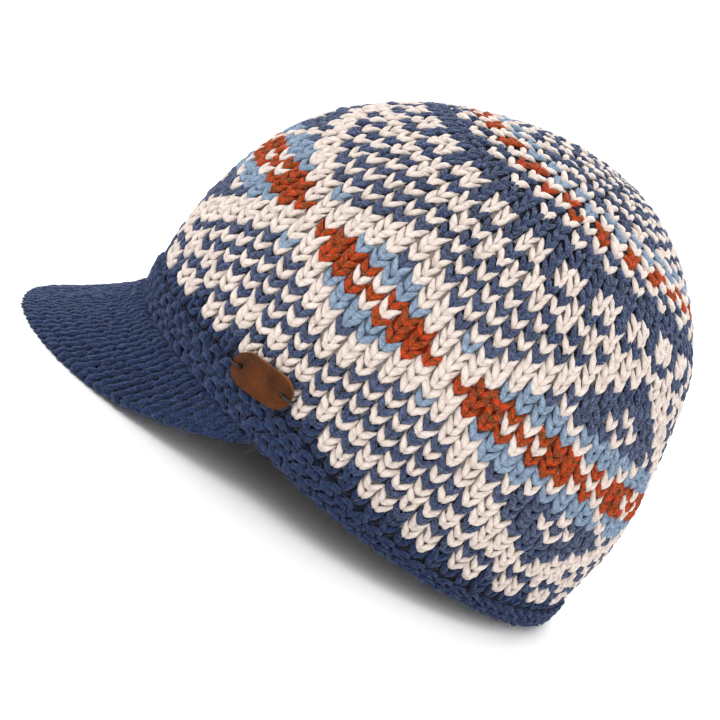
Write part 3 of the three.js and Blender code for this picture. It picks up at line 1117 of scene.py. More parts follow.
@dataclass(frozen=True)
class Rim:
    """The band's two edges, which swing a little up and down round the cap."""

    height: float = 9.72
    swing: tuple[float, ...] = (1.97, 2.09, -2.6, -1.47, 0.05, 0.65)
    front_dip: float = 2.0
    peak_angle: float = 60.5
    sag: float = 1.3
    sag_angle: float = 82
    sag_spread: float = 24

    def top(self, angle: np.ndarray) -> np.ndarray:
        """Wall length of the band's upper edge, at angles round from the front."""
        return self.height + sum(v * np.cos((k + 1) * angle) for k, v in enumerate(self.swing))

    def bottom(self, angle: np.ndarray) -> np.ndarray:
        """Wall length of the band's lower edge, deeper over the peak and beside the ears.

        Args:
            angle: angles round from the front, in radians.

        Returns:
            Wall lengths, in millimetres.
        """
        turn = np.abs(np.degrees(np.arctan2(np.sin(angle), np.cos(angle))))
        share = np.clip(turn / self.peak_angle, 0, 1)
        dip = np.where(share < 1, self.front_dip * np.cos(share * math.pi / 2) ** 2, 0)
        return -dip - self.sag * np.exp(-(((turn - self.sag_angle) / self.sag_spread) ** 2))


RIM = Rim()


class Zone(Enum):
    """Parts of the crown whose stitches are kept together as one piece."""

    LOWER = "lower"
    UPPER = "upper"
    TOP = "top"


@dataclass(frozen=True)
class Chart:
    """The crown's pattern, a letter a stitch, its rows counted both ways from the middle row.

    Each row of letters runs from the crossing between two diamonds to the middle of the large one, and is
    read forward and back. The small diamond takes the first half of it. The borders repeat in threes, and
    the yarns of the top take turns in pairs.
    """

    letters: tuple[str, ...] = (
        "WRRRWRWRRRW",
        "WWRRRWRRRWR",
        "WWWLLLLLWLL",
        "LWWWLLLWLLL",
        "WDWWWDWDDDW",
        "DWDWWWDDDWD",
        "WDWDWWWDDDW",
        "DWDWDWWWDDD",
        "WNWNWNWWWNN",
        "NWNWNWNWWWN",
    )
    borders: tuple[str, ...] = ("WWW", "WNN", "NWW", "NWW", "NNN", "NNN")
    top_pairs: tuple[str, ...] = ("WN", "NW", "WR", "RW", "WL", "LW")
    top_row: int = 16
    shaded_rim_rows: int = -13
    large_diamond: int = 20
    small_diamond: int = 10

    def letter(self, row: int, column: int) -> str:
        """The yarn's letter for one stitch.

        Args:
            row: the row, 0 in the middle of the pattern.
            column: the stitch's number round the cap, or in its wedge in the top.

        Returns:
            W, R, L, D or N.
        """
        over, out = row - self.top_row, abs(row) - len(self.letters)
        if over >= 0:
            return self.top_pairs[over if over < len(self.top_pairs) else over % 2][column % 2]
        if out >= 0:
            return self.borders[out][column % len(self.borders[out])]
        place, size = column % (self.large_diamond + self.small_diamond), self.large_diamond
        if place > size:
            place, size = place - size, self.small_diamond
        return self.letters[abs(row)][min(place, size - place)]

    def yarn(self, row: int, column: int) -> Yarn:
        """The yarn of one stitch."""
        # The rows next to the band take the band's darker navy instead of ink: painted shade beside the band.
        dark = Yarn.NAVY if row <= self.shaded_rim_rows else Yarn.INK
        return {"W": Yarn.CREAM, "R": Yarn.RUST, "L": Yarn.SKY, "D": Yarn.DENIM, "N": dark}[
            self.letter(row, column)]


@dataclass
class Crown:
    """The patterned dome: stitches over a closed wall of cloth, closed at the top by decreases."""

    stitches: int = 90
    first_row: int = -14
    even_row: int = 15
    last_row: int = 34
    pitch: float = 4.05
    top_gain: float = 0.57
    easing: float = 25.4
    span: float = 38
    lean_in: float = 1.2
    rise_swing: tuple[float, ...] = (0.96, 0.89, 2.92, -2.54, 0.43)
    bow_swing: tuple[float, ...] = (-14.15, -5.82, -1.78, -5.5, 2.47)
    column_swing: tuple[float, ...] = (6.51, -1.71, 1.59, 0.2, -0.39)
    column_drift: tuple[float, ...] = (2.43, -4.55, -0.32, -1.66, 0.02)
    front_column: float = -18.47
    wedges: int = 6
    width: float = 6.7
    row: float = 3.4
    top_width: float = 6.2
    button: float = 7.5
    button_girth: float = 0.95
    closing: tuple[tuple[int, float, float], ...] = ((8, 0.8, 3.6), (4, 0.3, 3.2))
    thickness: float = 2.6
    back_thickness: float = 1.7
    light_girth: float = 0.9
    top_girth: float = 1.12
    middle: float = 0.78
    back_middle: float = 0.75
    patch_middle: float = 0.4
    depth: float = 0.15
    back_proud: float = 0.3
    ground_depth: float = 1.25
    seed: int = 11
    back_seed: int = 61
    chart: Chart = field(default_factory=Chart)

    def lift(self, row: np.ndarray, angle: np.ndarray) -> np.ndarray:
        """Wall length of the stitches' lower tips.

        Args:
            row: row numbers.
            angle: angles round from the front, in radians.

        Returns:
            Lengths up from the rim, in millimetres.
        """
        row, angle = np.broadcast_arrays(np.asarray(row, float), np.asarray(angle, float))
        rise = sum(v * np.cos((k + 1) * angle) for k, v in enumerate(self.rise_swing))
        bow = self.easing + sum(v * np.cos((k + 1) * angle) for k, v in enumerate(self.bow_swing))
        share = (np.minimum(row, self.even_row) - self.first_row) / self.span
        low = (RIM.height + (RIM.top(angle) - RIM.height) * (1 - share) ** 2 + self.pitch * share * self.span
               + bow * (share ** 2 - share) + share * rise)
        left = FORM.top - low
        rows = self.last_row + 0.5 - self.even_row
        step = np.minimum(self.pitch + self.top_gain + rise / self.span, self.lean_in * left / rows)
        over = np.clip(row - self.even_row, 0, rows)
        return low + step * over + (left - step * rows) * (over / rows) ** 2

    def angles(self, row: int, shares: np.ndarray) -> np.ndarray:
        """Angles of stitches, which drift a little round the cap from row to row.

        Args:
            row: the row's number.
            shares: their shares of the way round.

        Returns:
            Angles round from the front, in radians.
        """
        angle = FORM.angle_at(shares)
        up = (row - self.first_row) / self.span
        pairs = zip(self.column_swing, self.column_drift)
        drift = sum((a + up * b) * np.sin((k + 1) * angle) for k, (a, b) in enumerate(pairs))
        return angle + np.radians(drift)

    def columns(self, row: int) -> list[tuple[float, int]]:
        """The stitches of one row.

        Args:
            row: the row's number.

        Returns:
            For each stitch, its share of the way round and its column in the chart.
        """
        if row <= self.even_row:
            start = math.floor(self.front_column)
            return [((i - self.front_column) / self.stitches, i) for i in range(start, start + self.stitches)]
        count = self.wedge_count(row)
        return [((w + (j + 0.5) / count) / self.wedges, j) for w in range(self.wedges) for j in range(count)]

    def wedge_count(self, row: int) -> int:
        """Stitches left in each wedge of the top, an even number so that two yarns take turns all round.

        Args:
            row: the row's number.

        Returns:
            Stitches in each wedge.
        """
        middle = float(self.lift(row + 0.75, math.pi / 2))
        half = [float(np.interp(middle, FORM.meridian[:, 0], FORM.meridian[:, k])) for k in (1, 2)]
        round_length = math.pi * (half[0] + half[1])
        return 2 * max(1, round(round_length / self.wedges / self.top_width / 2))

    def laid_row(self, row: int, up: float, depth: float) -> list[tuple[Any, ...]]:
        """Place the stitches of one row.

        Args:
            row: the row's number.
            up: how far up in the row their middles are, as a share of it.
            depth: how far in from the outer face they lie, in millimetres.

        Returns:
            For each stitch its column, its middle, its directions across and out, its width and its height.
        """
        shares, numbers = (np.array(part) for part in zip(*self.columns(row)))
        angle, beside = self.angles(row, shares), self.angles(row, shares + 1.0 / len(shares))
        low, high = self.lift(row, angle), self.lift(row + 1, angle)
        middle = low + up * (high - low)
        width = np.linalg.norm(FORM.outer(middle, beside) - FORM.outer(middle, angle), axis=1)
        place = FORM.rested(FORM.wall_point(middle, angle, depth))
        around, _, out = (FORM.turned(v) for v in FORM.axes(middle, angle))
        return list(zip(numbers.tolist(), place, around, out, width.tolist(), (high - low).tolist()))

    def fields(self) -> dict[tuple[Yarn, Zone], StitchField]:
        """Set out every stitch of the crown, by yarn and zone.

        Returns:
            The stitches of each piece.
        """
        fields: dict[tuple[Yarn, Zone], StitchField] = {}
        for row in range(self.first_row, self.last_row + 1):
            zone = Zone.TOP if row > self.even_row else (Zone.UPPER if row > 0 else Zone.LOWER)
            for number, place, around, out, width, height in self.laid_row(row, self.middle, self.depth):
                yarn = self.chart.yarn(row, number)
                girth = min(1.0, width / self.top_width) * (self.light_girth if yarn is Yarn.CREAM else 1.0)
                girth *= self.top_girth if zone is Zone.TOP else 1.0
                fields.setdefault((yarn, zone), StitchField()).put(
                    place, around, out, (width / self.width, height / self.row, girth))
        self.close(fields)
        return fields

    def close(self, fields: dict[tuple[Yarn, Zone], StitchField]) -> None:
        """Gather the last stitches over the middle of the top.

        Args:
            fields: the stitches so far, by yarn and zone.
        """
        out = FORM.turned(np.array([0.0, 0.0, 1.0]))
        for count, share, length in self.closing:
            angle = np.arange(count) / count * 2 * math.pi
            edge = FORM.outer(FORM.top, angle)
            middle = edge.mean(0)
            place = FORM.rested(middle + (edge - middle) * share - np.array([0, 0, self.depth]))
            around = FORM.turned(FORM.outer(FORM.top, angle + 0.1) - FORM.outer(FORM.top, angle - 0.1))
            width = 2 * math.pi * share * self.button / count
            stretch = (width / self.width, length / self.row, self.button_girth)
            for k in range(count):
                fields[Yarn.INK if k % 2 else Yarn.CREAM, Zone.TOP].put(place[k], around[k], out, stretch)

    def ground(self) -> bpy.types.Object:
        """The closed wall under the stitches, each patch in the yarn of its stitch, darkened as painted
        shade.

        Returns:
            The wall's piece.
        """
        rows = np.arange(self.first_row, self.last_row + 1)
        first = math.floor(self.front_column)
        shares = (np.arange(first, first + self.stitches) - self.front_column + 0.5) / self.stitches
        angles = [self.angles(row, shares) for row in rows]
        lengths = [RIM.top(angles[0]) + FORM.gap]
        lengths += [self.lift(row + self.patch_middle, angle) for row, angle in zip(rows[1:], angles[1:])]
        inner = [FORM.wall_point(t, a, FORM.wall) for t, a in zip(lengths, angles)][::-1]
        outer = [FORM.wall_point(t, a, self.ground_depth) for t, a in zip(lengths, angles)]
        points = FORM.rested(np.concatenate(inner + outer))
        piece = closed_mesh("crown_cloth", points, loop_faces(2 * len(lengths), self.stitches, False))
        self.tint(piece, len(inner))
        piece.data.materials.append(GroundFinish("crown_cloth").material)
        return piece

    def tint(self, piece: bpy.types.Object, inner_loops: int) -> None:
        """Give each patch of the wall the colour of its yarn, darkened as painted shade between the stitches.

        Args:
            piece: the wall.
            inner_loops: how many of its loops are on the inner face.
        """
        tint = piece.data.attributes.new(CLOTH_SHADED_TINT, "FLOAT_COLOR", "CORNER")
        values = np.zeros((len(piece.data.loops), 4), np.float32)
        first = math.floor(self.front_column)
        for number, face in enumerate(piece.data.polygons):
            loop, column = divmod(number, self.stitches)
            step = loop - inner_loops if loop >= inner_loops else inner_loops - 1 - loop
            row = min(self.first_row + max(step, 0), self.last_row)
            yarn = self.chart.yarn(row, column + first + 1) if row <= self.even_row else Yarn.INK
            # The yarn's colour darkened: painted shade in the gaps between the stitches.
            colour = linear(shaded(WOOL[yarn].body, GROUND_PAINTED_SHADE))
            if loop < inner_loops or number == len(piece.data.polygons) - 2:
                both = zip(WOOL[yarn].shade, WOOL[Yarn.CREAM].shade)
                colour = linear(tuple((a + b) / 2 for a, b in both))
            for corner in face.loop_indices:
                values[corner] = colour
        tint.data.foreach_set("color", values.ravel())

    def inner_bumps(self) -> dict[Yarn, StitchField]:
        """Set out the purl bumps on the inner face, in the yarn that runs behind.

        Returns:
            The bumps of each yarn.
        """
        fields: dict[Yarn, StitchField] = {}
        for row in range(self.first_row, self.last_row - 1):
            laid = self.laid_row(row, self.back_middle, FORM.wall - self.back_proud)
            for number, place, around, out, width, height in laid:
                fields.setdefault(self.chart.yarn(row, number), StitchField()).put(
                    place, around, -out, (width / self.width, height / self.row, 1.0))
        return fields

    def build(self, knit: bpy.types.NodeTree, bump: bpy.types.NodeTree) -> list[bpy.types.Object]:
        """Build and dress the crown.

        Args:
            knit: the tree of a knit stitch.
            bump: the tree of a bump on the back.

        Returns:
            Its pieces.
        """
        pieces = [keep(self.ground(), "patterned_knit", "crown")]
        sizes = {"Stitch Width": self.width * MM, "Row Height": self.row * MM,
                 "Yarn Thickness": self.thickness * MM, "Turn Spread": 0.15, "Size Spread": 0.11}
        front = sorted(self.fields().items(), key=lambda item: (item[0][0].value, item[0][1].value))
        for number, ((yarn, zone), stitches) in enumerate(front):
            name = f"crown_{yarn.value}_{zone.value}"
            piece = stitches.lay(name, knit, sizes, self.seed + number, WOOL[yarn].material)
            pieces.append(keep(piece, "patterned_knit", "crown"))
        sizes["Yarn Thickness"] = self.back_thickness * MM
        back = sorted(self.inner_bumps().items(), key=lambda item: item[0].value)
        for number, (yarn, stitches) in enumerate(back):
            name = f"crown_back_{yarn.value}"
            piece = stitches.lay(name, bump, sizes, self.back_seed + number, WOOL[yarn].material)
            pieces.append(keep(piece, "patterned_knit", "crown"))
        return pieces

    def skin(self) -> bpy.types.Mesh:
        """The outer face alone, for loose hairs to stand on.

        Returns:
            The face, in metres.
        """
        lengths = np.linspace(RIM.height, FORM.top - 1, SKIN_POINTS // 2)
        grid = np.stack([FORM.outer(length, all_round(SKIN_POINTS)) for length in lengths])
        return open_mesh("crown_skin", FORM.rested(grid), wrapped=True)


@dataclass
class Headband:
    """The navy ring of purl ridges at the rim."""

    proud: float = 0.9
    ridges: int = 4
    hem_ridges: int = 2
    stitches: int = 90
    width: float = 6.5
    row: float = 2.7
    thickness: float = 2.2
    cover: float = 0.8
    sunk: float = 0.35
    stagger: float = 0.25
    first_up: float = 0.62
    loop_points: int = 144
    hem_points: int = 9
    inner_reach: float = 4
    outer_reach: float = 20
    seed: int = 101

    @property
    def hem(self) -> float:
        """Radius of the fold at the rim."""
        return (FORM.wall + self.proud) / 2

    def length(self, up: float, angle: np.ndarray) -> np.ndarray:
        """Wall length at a share of the band's height."""
        return RIM.bottom(angle) + (RIM.top(angle) - RIM.bottom(angle)) * up

    def ground(self) -> bpy.types.Object:
        """The closed ring under the ridges.

        Returns:
            The ring's piece.
        """
        angles = all_round(self.loop_points)
        sunk = self.cover - self.proud
        section = [(1, sunk + 0.4), (0.97, sunk), (0.5, sunk), (0.12, sunk), (0.03, sunk + 0.5),
                   (0, sunk + 1.3), (0, FORM.wall - 1.2), (0.05, FORM.wall - 0.3), (0.14, FORM.wall),
                   (0.5, FORM.wall), (1, FORM.wall)]
        loops = [FORM.wall_point(self.length(up, angles), angles, depth) for up, depth in section]
        points = FORM.rested(np.concatenate(loops))
        piece = closed_mesh("headband_cloth", points, loop_faces(len(loops), len(angles), True))
        # A darker navy than the yarn: painted shade in the gaps between the purl stitches.
        piece.data.materials.append(GroundFinish("navy_cloth", (16, 25, 54)).material)
        return piece

    def drape(self) -> Drape:
        """The face that the purl stitches lie on: up the outer wall, and round the hem to the inner wall.

        Returns:
            The measured face.
        """
        angle = FORM.angle_at(np.arange(2 * self.stitches) / (2 * self.stitches))
        hem, bottom, top = self.hem, RIM.bottom(angle), RIM.top(angle)
        section = [(bottom + 2.5 * hem, FORM.wall), (bottom + hem, FORM.wall)]
        for turn in np.linspace(math.pi, 0, self.hem_points)[1:]:
            section.append((bottom + hem * (1 - math.sin(turn)), FORM.wall - hem - hem * math.cos(turn)))
        fold = len(section) - 1
        section += [(bottom + hem + (top + 3 - bottom - hem) * share, -self.proud) for share in (0.3, 0.6, 1)]
        points = [FORM.wall_point(length, angle, depth - self.sunk) for length, depth in section]
        lines = FORM.moved(np.stack(points, 1))
        span = (-1.5 * self.row * self.hem_ridges - self.inner_reach, self.outer_reach)
        return Drape.over(lines, lengths_along(lines)[:, fold], 0.5, span, True)

    def rows(self) -> tuple[StitchField, StitchField]:
        """Set out the heads and the feet of the purl stitches, flat.

        Returns:
            The heads, and the feet.
        """
        heads, feet = StitchField(), StitchField()
        for ridge in range(-self.hem_ridges, self.ridges):
            for i in range(self.stitches):
                for target, offset, low in ((heads, 0.0, 0.0), (feet, 0.5, -0.5)):
                    number = i + offset + self.stagger * (ridge % 2)
                    angle = float(FORM.angle_at(np.array(number / self.stitches)))
                    row = float(RIM.top(angle) - RIM.bottom(angle)) / self.ridges if ridge >= 0 else self.row
                    up = (ridge + self.first_up + low) * row - self.hem
                    target.put_flat(number * self.width, up, row / self.row)
        return heads, feet

    def build(self, head: bpy.types.NodeTree, foot: bpy.types.NodeTree) -> list[bpy.types.Object]:
        """Build and dress the band.

        Args:
            head: the tree of a purl stitch's head.
            foot: the tree of its foot.

        Returns:
            Its pieces.
        """
        pieces = [keep(self.ground(), "navy_knit", "headband")]
        sizes = {"Stitch Width": self.width * MM, "Row Height": self.row * MM,
                 "Yarn Thickness": self.thickness * MM, "Turn Spread": 0.15, "Size Spread": 0.16}
        drape, yarn = self.drape(), WOOL[Yarn.NAVY].material
        layers = zip(("headband_heads", "headband_feet"), self.rows(), (head, foot))
        for number, (name, stitches, tree) in enumerate(layers):
            piece = stitches.lay(name, tree, sizes, self.seed + number, yarn, drape)
            pieces.append(keep(piece, "navy_knit", "headband"))
        return pieces

    def skin(self) -> bpy.types.Mesh:
        """The outer face alone, for loose hairs to stand on.

        Returns:
            The face, in metres.
        """
        angles = all_round(SKIN_POINTS)
        lengths = [self.length(up, angles) for up in (0.0, 0.5, 1.0)]
        grid = np.stack([FORM.wall_point(length, angles, -self.proud) for length in lengths])
        return open_mesh("headband_skin", FORM.rested(grid), wrapped=True)


@dataclass
class Peak:
    """The short knitted peak, its stitch columns running from the band over the edge to the under face."""

    half_angle: float = 60.5
    reach: float = 40.3
    fullness: float = 2.25
    roundness: float = 0.85
    slope: float = 45.4
    side_slope: float = 15.3
    camber: float = -5.9
    thick: float = 5.9
    end_thick: float = 1.7
    end_lift: float = 1.4
    lead: float = 4.5
    edge_run: float = 3.3
    fan: float = 0.12
    fillet: float = 1.5
    fillet_run: float = 0.22
    wales: int = 34
    width: float = 5.9
    pitch: float = 4.9
    thickness: float = 2.65
    inset: float = 1.9
    sunk: float = 0.75
    face_points: int = 60
    edge_turns: tuple[float, ...] = (60, 30, 0, -30, -60)
    wale_lines: int = 4
    reserve: float = 14
    cloth_lines: int = 57
    cloth_points: int = 14
    end: float = 0.97
    end_inset: float = 0.3
    start: float = -0.6
    skin_lines: int = 50
    seed: int = 131

    @property
    def fold(self) -> int:
        """Number of the point at the very edge, in a line over both faces."""
        return self.face_points + len(self.edge_turns) // 2

    def spine(self, across: np.ndarray, along: np.ndarray) -> tuple[np.ndarray, np.ndarray]:
        """The peak's middle surface.

        Args:
            across: from -1 at the wearer's right to 1 at the left.
            along: from -1 under the band and 0 at the rim to 1 at the edge.

        Returns:
            Points in the cap's own frame, and the thickness there.
        """
        angle = across * math.radians(self.half_angle)
        share = np.abs(across)
        thick = self.thick + (self.end_thick - self.thick) * share ** 3
        reach = self.reach * np.maximum(0.0, 1 - share ** self.fullness) ** self.roundness
        root = FORM.outer(RIM.bottom(angle), angle)
        root[:, 2] -= FORM.gap + thick / 2 - self.end_lift * share ** 3
        inward = unit(FORM.axes(np.zeros_like(angle), angle)[2] * np.array([1, 1, 0]))
        slope = np.radians(self.slope + self.side_slope * share ** 2 + self.camber * (along - 0.5))
        fall = np.stack([np.zeros_like(along), -reach * np.cos(slope), -reach * np.sin(slope)], 1)
        return (root + fall * np.clip(along, 0, 1)[:, None]
                + inward * np.minimum(along, 0)[:, None] * self.lead), thick

    def path(self, wale: float, inset: float, count: int, start: float) -> np.ndarray:
        """One line over the upper face, round the edge and back on the under face.

        Args:
            wale: from -1 at the wearer's right to 1 at the left.
            inset: depth below the peak's faces.
            count: points on each face.
            start: where it starts along, from -1 to 0.

        Returns:
            Points in the cap's own frame.
        """
        along = np.linspace(start, 1, count)
        across = wale * (1 + self.fan * np.clip(along, 0, 1) * (1 - wale ** 2))
        spine, thick = self.spine(across, along)
        run = np.gradient(spine, axis=0)
        run[:, 0] = 0
        size = np.linalg.norm(run, axis=1, keepdims=True)
        run = np.where(size > 1e-3, run / np.maximum(size, 1e-9), np.array([0, -0.7, -0.7]))
        normal = np.stack([np.zeros(count), run[:, 2], -run[:, 1]], 1)
        half = (thick / 2 - inset)[:, None]
        ramp = np.clip(1 - along / self.fillet_run, 0, 1)[:, None]
        swell = self.fillet * ramp ** 2 * (along > -0.5)[:, None]
        upper, lower = spine + normal * (half + swell * (1 - wale ** 2)), spine - normal * half
        turn = np.radians(np.array(self.edge_turns))[:, None]
        ahead, above = run[-1] * (self.edge_run - inset), normal[-1] * half[-1]
        edge = spine[-1] + ahead * np.cos(turn) + above * np.sin(turn)
        return np.vstack([upper, edge, lower[::-1]])

    def ground(self) -> bpy.types.Object:
        """The closed body under the stitches.

        Returns:
            The body's piece.
        """
        loops = []
        for wale in np.linspace(-1, 1, self.cloth_lines):
            inset = min(self.inset, self.end_inset * self.end_thick) if abs(wale) > self.end else self.inset
            loops.append(self.path(wale, inset, self.cloth_points, -1))
        points = FORM.rested(np.concatenate(loops))
        piece = closed_mesh("peak_cloth", points, loop_faces(len(loops), len(loops[0]), False))
        # A darker navy than the yarn: painted shade in the gaps between the stitches.
        piece.data.materials.append(GroundFinish("peak_cloth", (14, 22, 50)).material)
        return piece

    def drape(self) -> Drape:
        """The face that the stitches lie on, measured from the fold at the peak's edge, up the upper face.

        Returns:
            The measured face.
        """
        lines = np.stack([self.path(wale, self.sunk, self.face_points, -1)[::-1]
                          for wale in np.linspace(-1, 1, self.wale_lines * self.wales + 1)])
        lines, far = FORM.moved(lines), self.reach + self.reserve
        return Drape.over(lines, lengths_along(lines)[:, self.fold], 1 / self.wale_lines, (-far, far), False)

    def stitches(self) -> StitchField:
        """Set out the stitches, flat, wale by wale from the band over the edge to the band.

        Returns:
            The stitches.
        """
        laid = StitchField()
        for wale in range(self.wales):
            line = self.path((2 * wale + 1) / self.wales - 1, self.sunk, self.face_points, self.start)
            length = lengths_along(line)
            fold = length[self.fold]
            for row in range(math.ceil((fold - length[-1]) / self.pitch), math.floor(fold / self.pitch) + 1):
                laid.put_flat((wale + 0.5) * self.width, row * self.pitch)
        return laid

    def build(self, knit: bpy.types.NodeTree) -> list[bpy.types.Object]:
        """Build and dress the peak.

        Args:
            knit: the tree of a knit stitch.

        Returns:
            Its pieces.
        """
        pieces = [keep(self.ground(), "navy_knit", "peak")]
        sizes = {"Stitch Width": self.width * MM, "Row Height": self.pitch * MM,
                 "Yarn Thickness": self.thickness * MM, "Turn Spread": 0.07, "Size Spread": 0.07}
        yarn = WOOL[Yarn.NAVY].material
        piece = self.stitches().lay("peak_stitches", knit, sizes, self.seed, yarn, self.drape())
        pieces.append(keep(piece, "navy_knit", "peak"))
        return pieces

    def skin(self) -> bpy.types.Mesh:
        """The faces alone, for loose hairs to stand on.

        Returns:
            The faces, in metres.
        """
        wales = np.linspace(-self.end, self.end, self.skin_lines)
        grid = np.stack([self.path(wale, 0.0, self.cloth_points, 0.0) for wale in wales])
        return open_mesh("peak_skin", FORM.rested(grid), wrapped=False)


@dataclass
class LooseHairs:
    """Fine hairs that stand off the wool."""

    name: str
    finish: FibreFinish
    slot: str
    node: str
    density: float
    length: float = 3.8
    girth: float = 0.07

    def build(self, skin: bpy.types.Mesh, tree: bpy.types.NodeTree, seed: int) -> bpy.types.Object:
        """Scatter the hairs over a face.

        Args:
            skin: the face that they stand on.
            tree: the tree of a scattered hair.
            seed: seed of their places.

        Returns:
            The piece.
        """
        sizes = {"Stitch Width": self.length * MM, "Row Height": self.length * MM,
                 "Yarn Thickness": self.girth * MM, "Size Spread": 0.45, "Density": self.density}
        return keep(grown(self.name, skin, tree, sizes, seed, self.finish.material), self.slot, self.node)


@dataclass
class LeatherTag:
    """The small bare label, with a cut edge, and the threads that hold it."""

    bevel: float = 0.28
    flat_angle: float = 2.5
    corner_angle: float = 40
    front_share: float = 0.3
    face_share: float = 0.55
    face: LeatherFinish = LeatherFinish("tag_leather", (91, 47, 15), (57, 29, 9))
    edge: LeatherFinish = LeatherFinish("tag_cut_edge", (140, 92, 56), (92, 56, 32), grain=5200,
                                        roughness=0.8)
    thread: ThreadFinish = ThreadFinish("tag_thread", (30, 24, 22))

    def build(self, nodes: dict[str, bpy.types.Object]) -> list[bpy.types.Object]:
        """Build the label from its solid, with rounded edges, and dress the threads.

        Args:
            nodes: the CAD nodes.

        Returns:
            The label's piece and the thread nodes.
        """
        piece = placed("tag_leather", nodes["leather_tag"].data.copy())
        weld = piece.modifiers.new("Weld", "WELD")
        weld.merge_threshold = 1e-5
        flat = piece.modifiers.new("Flat", "DECIMATE")
        flat.decimate_type = "DISSOLVE"
        flat.angle_limit = math.radians(self.flat_angle)
        bevel = piece.modifiers.new("Bevel", "BEVEL")
        bevel.width = self.bevel * MM
        bevel.segments = 3
        bevel.limit_method = "ANGLE"
        bevel.angle_limit = math.radians(self.corner_angle)
        graph = bpy.context.evaluated_depsgraph_get()
        piece.data = bpy.data.meshes.new_from_object(piece.evaluated_get(graph), depsgraph=graph)
        piece.modifiers.clear()
        self.paint(piece)
        keep(piece, "brown_leather", "leather_tag")
        for name in ("tag_stitch_front", "tag_stitch_back"):
            node = nodes[name]
            node.data.materials.clear()
            node.data.materials.append(self.thread.material)
            LOG.info("%s: dressed", name)
        return [piece, nodes["tag_stitch_front"], nodes["tag_stitch_back"]]

    def paint(self, piece: bpy.types.Object) -> None:
        """Give the faces their leather and the cut edge its own finish.

        Args:
            piece: the label.
        """
        mesh = piece.data
        mesh.materials.clear()
        mesh.materials.append(self.face.material)
        mesh.materials.append(self.edge.material)
        normals = np.array([face.normal for face in mesh.polygons])
        areas = np.array([face.area for face in mesh.polygons])
        ahead = (normals[:, 0] > self.front_share)[:, None]
        front = unit((normals * areas[:, None] * ahead).sum(0))
        for face, normal in zip(mesh.polygons, normals):
            face.material_index = 0 if abs(float(normal @ front)) > self.face_share else 1
        mesh.shade_smooth()


@dataclass(frozen=True)
class PhotoCamera:
    """The camera, turned and placed against the cap's own frame."""

    azimuth: float = 74.9
    elevation: float = 11.3
    roll: float = -41.8
    distance: float = 471.8
    focal: float = 1203.2
    image: float = 720.0
    side: float = -20.8
    rise: float = 26.5
    sensor: float = 36.0

    def build(self) -> bpy.types.Object:
        """Make the scene's camera.

        Returns:
            The camera.
        """
        azimuth, elevation, roll = (math.radians(v) for v in (self.azimuth, self.elevation, self.roll))
        right = np.array([math.cos(azimuth), math.sin(azimuth), 0.0])
        back = np.array([math.sin(azimuth) * math.cos(elevation), -math.cos(azimuth) * math.cos(elevation),
                         math.sin(elevation)])
        up = np.cross(back, right)
        place = right * self.side + up * self.rise + back * self.distance
        across = math.cos(roll) * right - math.sin(roll) * up
        above = math.sin(roll) * right + math.cos(roll) * up
        axes = [Vector(FORM.turned(v)) for v in (across, above, back)]
        place = FORM.moved(place) * MM
        data = bpy.data.cameras.new("camera")
        data.sensor_width = self.sensor
        data.lens = self.sensor * self.focal / self.image
        data.clip_start = 0.01
        camera = placed("camera", data)
        turn = Matrix(axes).transposed().to_4x4()
        camera.matrix_world = Matrix.Translation(Vector(place)) @ turn
        bpy.context.scene.camera = camera
        return camera


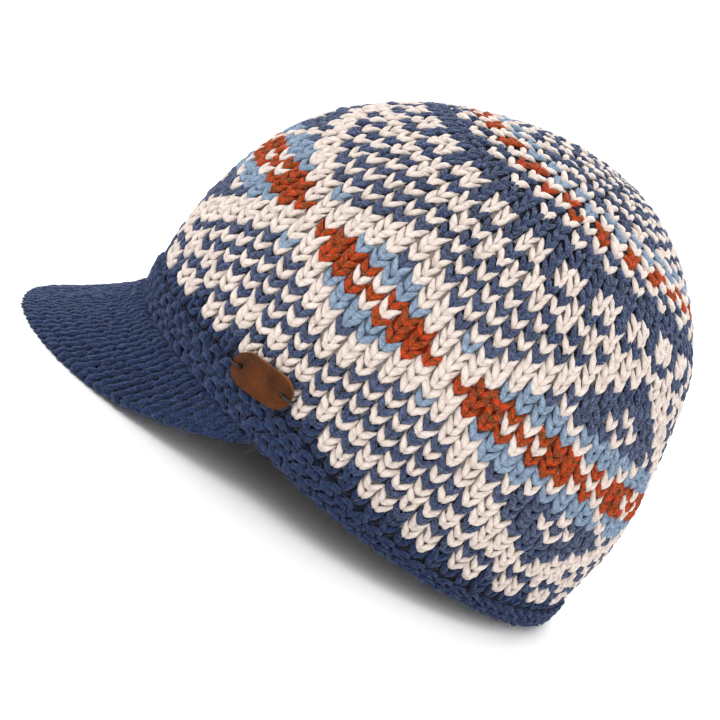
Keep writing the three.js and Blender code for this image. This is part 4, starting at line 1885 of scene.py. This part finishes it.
@dataclass(frozen=True)
class Studio:
    """A pale floor and soft light from all round."""

    floor_size: float = 60.0
    floor_colour: Colour = (252, 252, 252)
    sky: float = 1.05
    key_power: float = 7.0
    fill_power: float = 2.0
    back_power: float = 18.0

    def build(self) -> None:
        """Make the floor, the lights and the sky."""
        half = self.floor_size / 2
        square = [(-half, -half, 0), (half, -half, 0), (half, half, 0), (-half, half, 0)]
        mesh = bpy.data.meshes.new("floor")
        mesh.from_pydata(square, [], [[0, 1, 2, 3]])
        floor = placed("floor", mesh)
        material = bpy.data.materials.new("floor")
        material.use_nodes = True
        shader = material.node_tree.nodes["Principled BSDF"]
        shader.inputs["Base Color"].default_value = linear(self.floor_colour)
        shader.inputs["Roughness"].default_value = 1.0
        shader.inputs["Specular IOR Level"].default_value = 0.0
        mesh.materials.append(material)
        world = bpy.data.worlds.new("sky")
        world.use_nodes = True
        world.node_tree.nodes["Background"].inputs["Color"].default_value = (1, 1, 1, 1)
        world.node_tree.nodes["Background"].inputs["Strength"].default_value = self.sky
        bpy.context.scene.world = world
        self.lamp("key", (0.5, -0.8, 1.15), 0.7, self.key_power)
        self.lamp("fill", (1.0, 0.6, 0.7), 0.8, self.fill_power)
        self.lamp("back", (-0.85, 0.4, 1.0), 0.9, self.back_power)

    def lamp(self, name: str, place: tuple[float, float, float], size: float, power: float) -> None:
        """Add one soft lamp that faces the cap.

        Args:
            name: its name.
            place: where it stands, in metres.
            size: the side of its square, in metres.
            power: its power, in watts.
        """
        data = bpy.data.lights.new(name, "AREA")
        data.size = size
        data.energy = power
        light = placed(name, data)
        light.location = place
        light.rotation_euler = (Vector((0, 0, 0.07)) - Vector(place)).to_track_quat("-Z", "Y").to_euler()


def corners(box: Any) -> list[list[float]]:
    """Write a box as plain lists of numbers."""
    return [[float(value) for value in corner] for corner in box]


def main() -> None:
    """Build the beanie round its frame."""
    logging.basicConfig(level=logging.INFO, format="%(message)s")
    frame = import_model()
    bpy.context.scene.view_settings.view_transform = "Standard"
    PhotoCamera().build()
    Studio().build()
    knit = StrandTree("knit_stitch", KNIT_LEG).build()
    crown, band, peak = Crown(), Headband(), Peak()
    crown.build(knit, StrandTree("back_bump", INNER_BUMP).build())
    band.build(StrandTree("purl_head", PURL_HEAD).build(), StrandTree("purl_foot", PURL_FOOT).build())
    peak.build(StrandTree("peak_stitch", PEAK_LEG).build())
    LeatherTag().build(frame["nodes"])
    hair = StrandTree("loose_hair", FIBRE, scattered=True).build()
    pale = FibreFinish("pale_hair", (202, 202, 210))
    blue = FibreFinish("blue_hair", (58, 82, 136))
    standing = ((LooseHairs("crown_hairs", pale, "patterned_knit", "crown", 130000, 2.2, 0.042), crown),
                (LooseHairs("headband_hairs", blue, "navy_knit", "headband", 600000), band),
                (LooseHairs("peak_hairs", blue, "navy_knit", "peak", 220000), peak))
    for number, (hairs, part) in enumerate(standing):
        hairs.build(part.skin(), hair, HAIR_SEED + number)


if __name__ == "__main__":
    main()
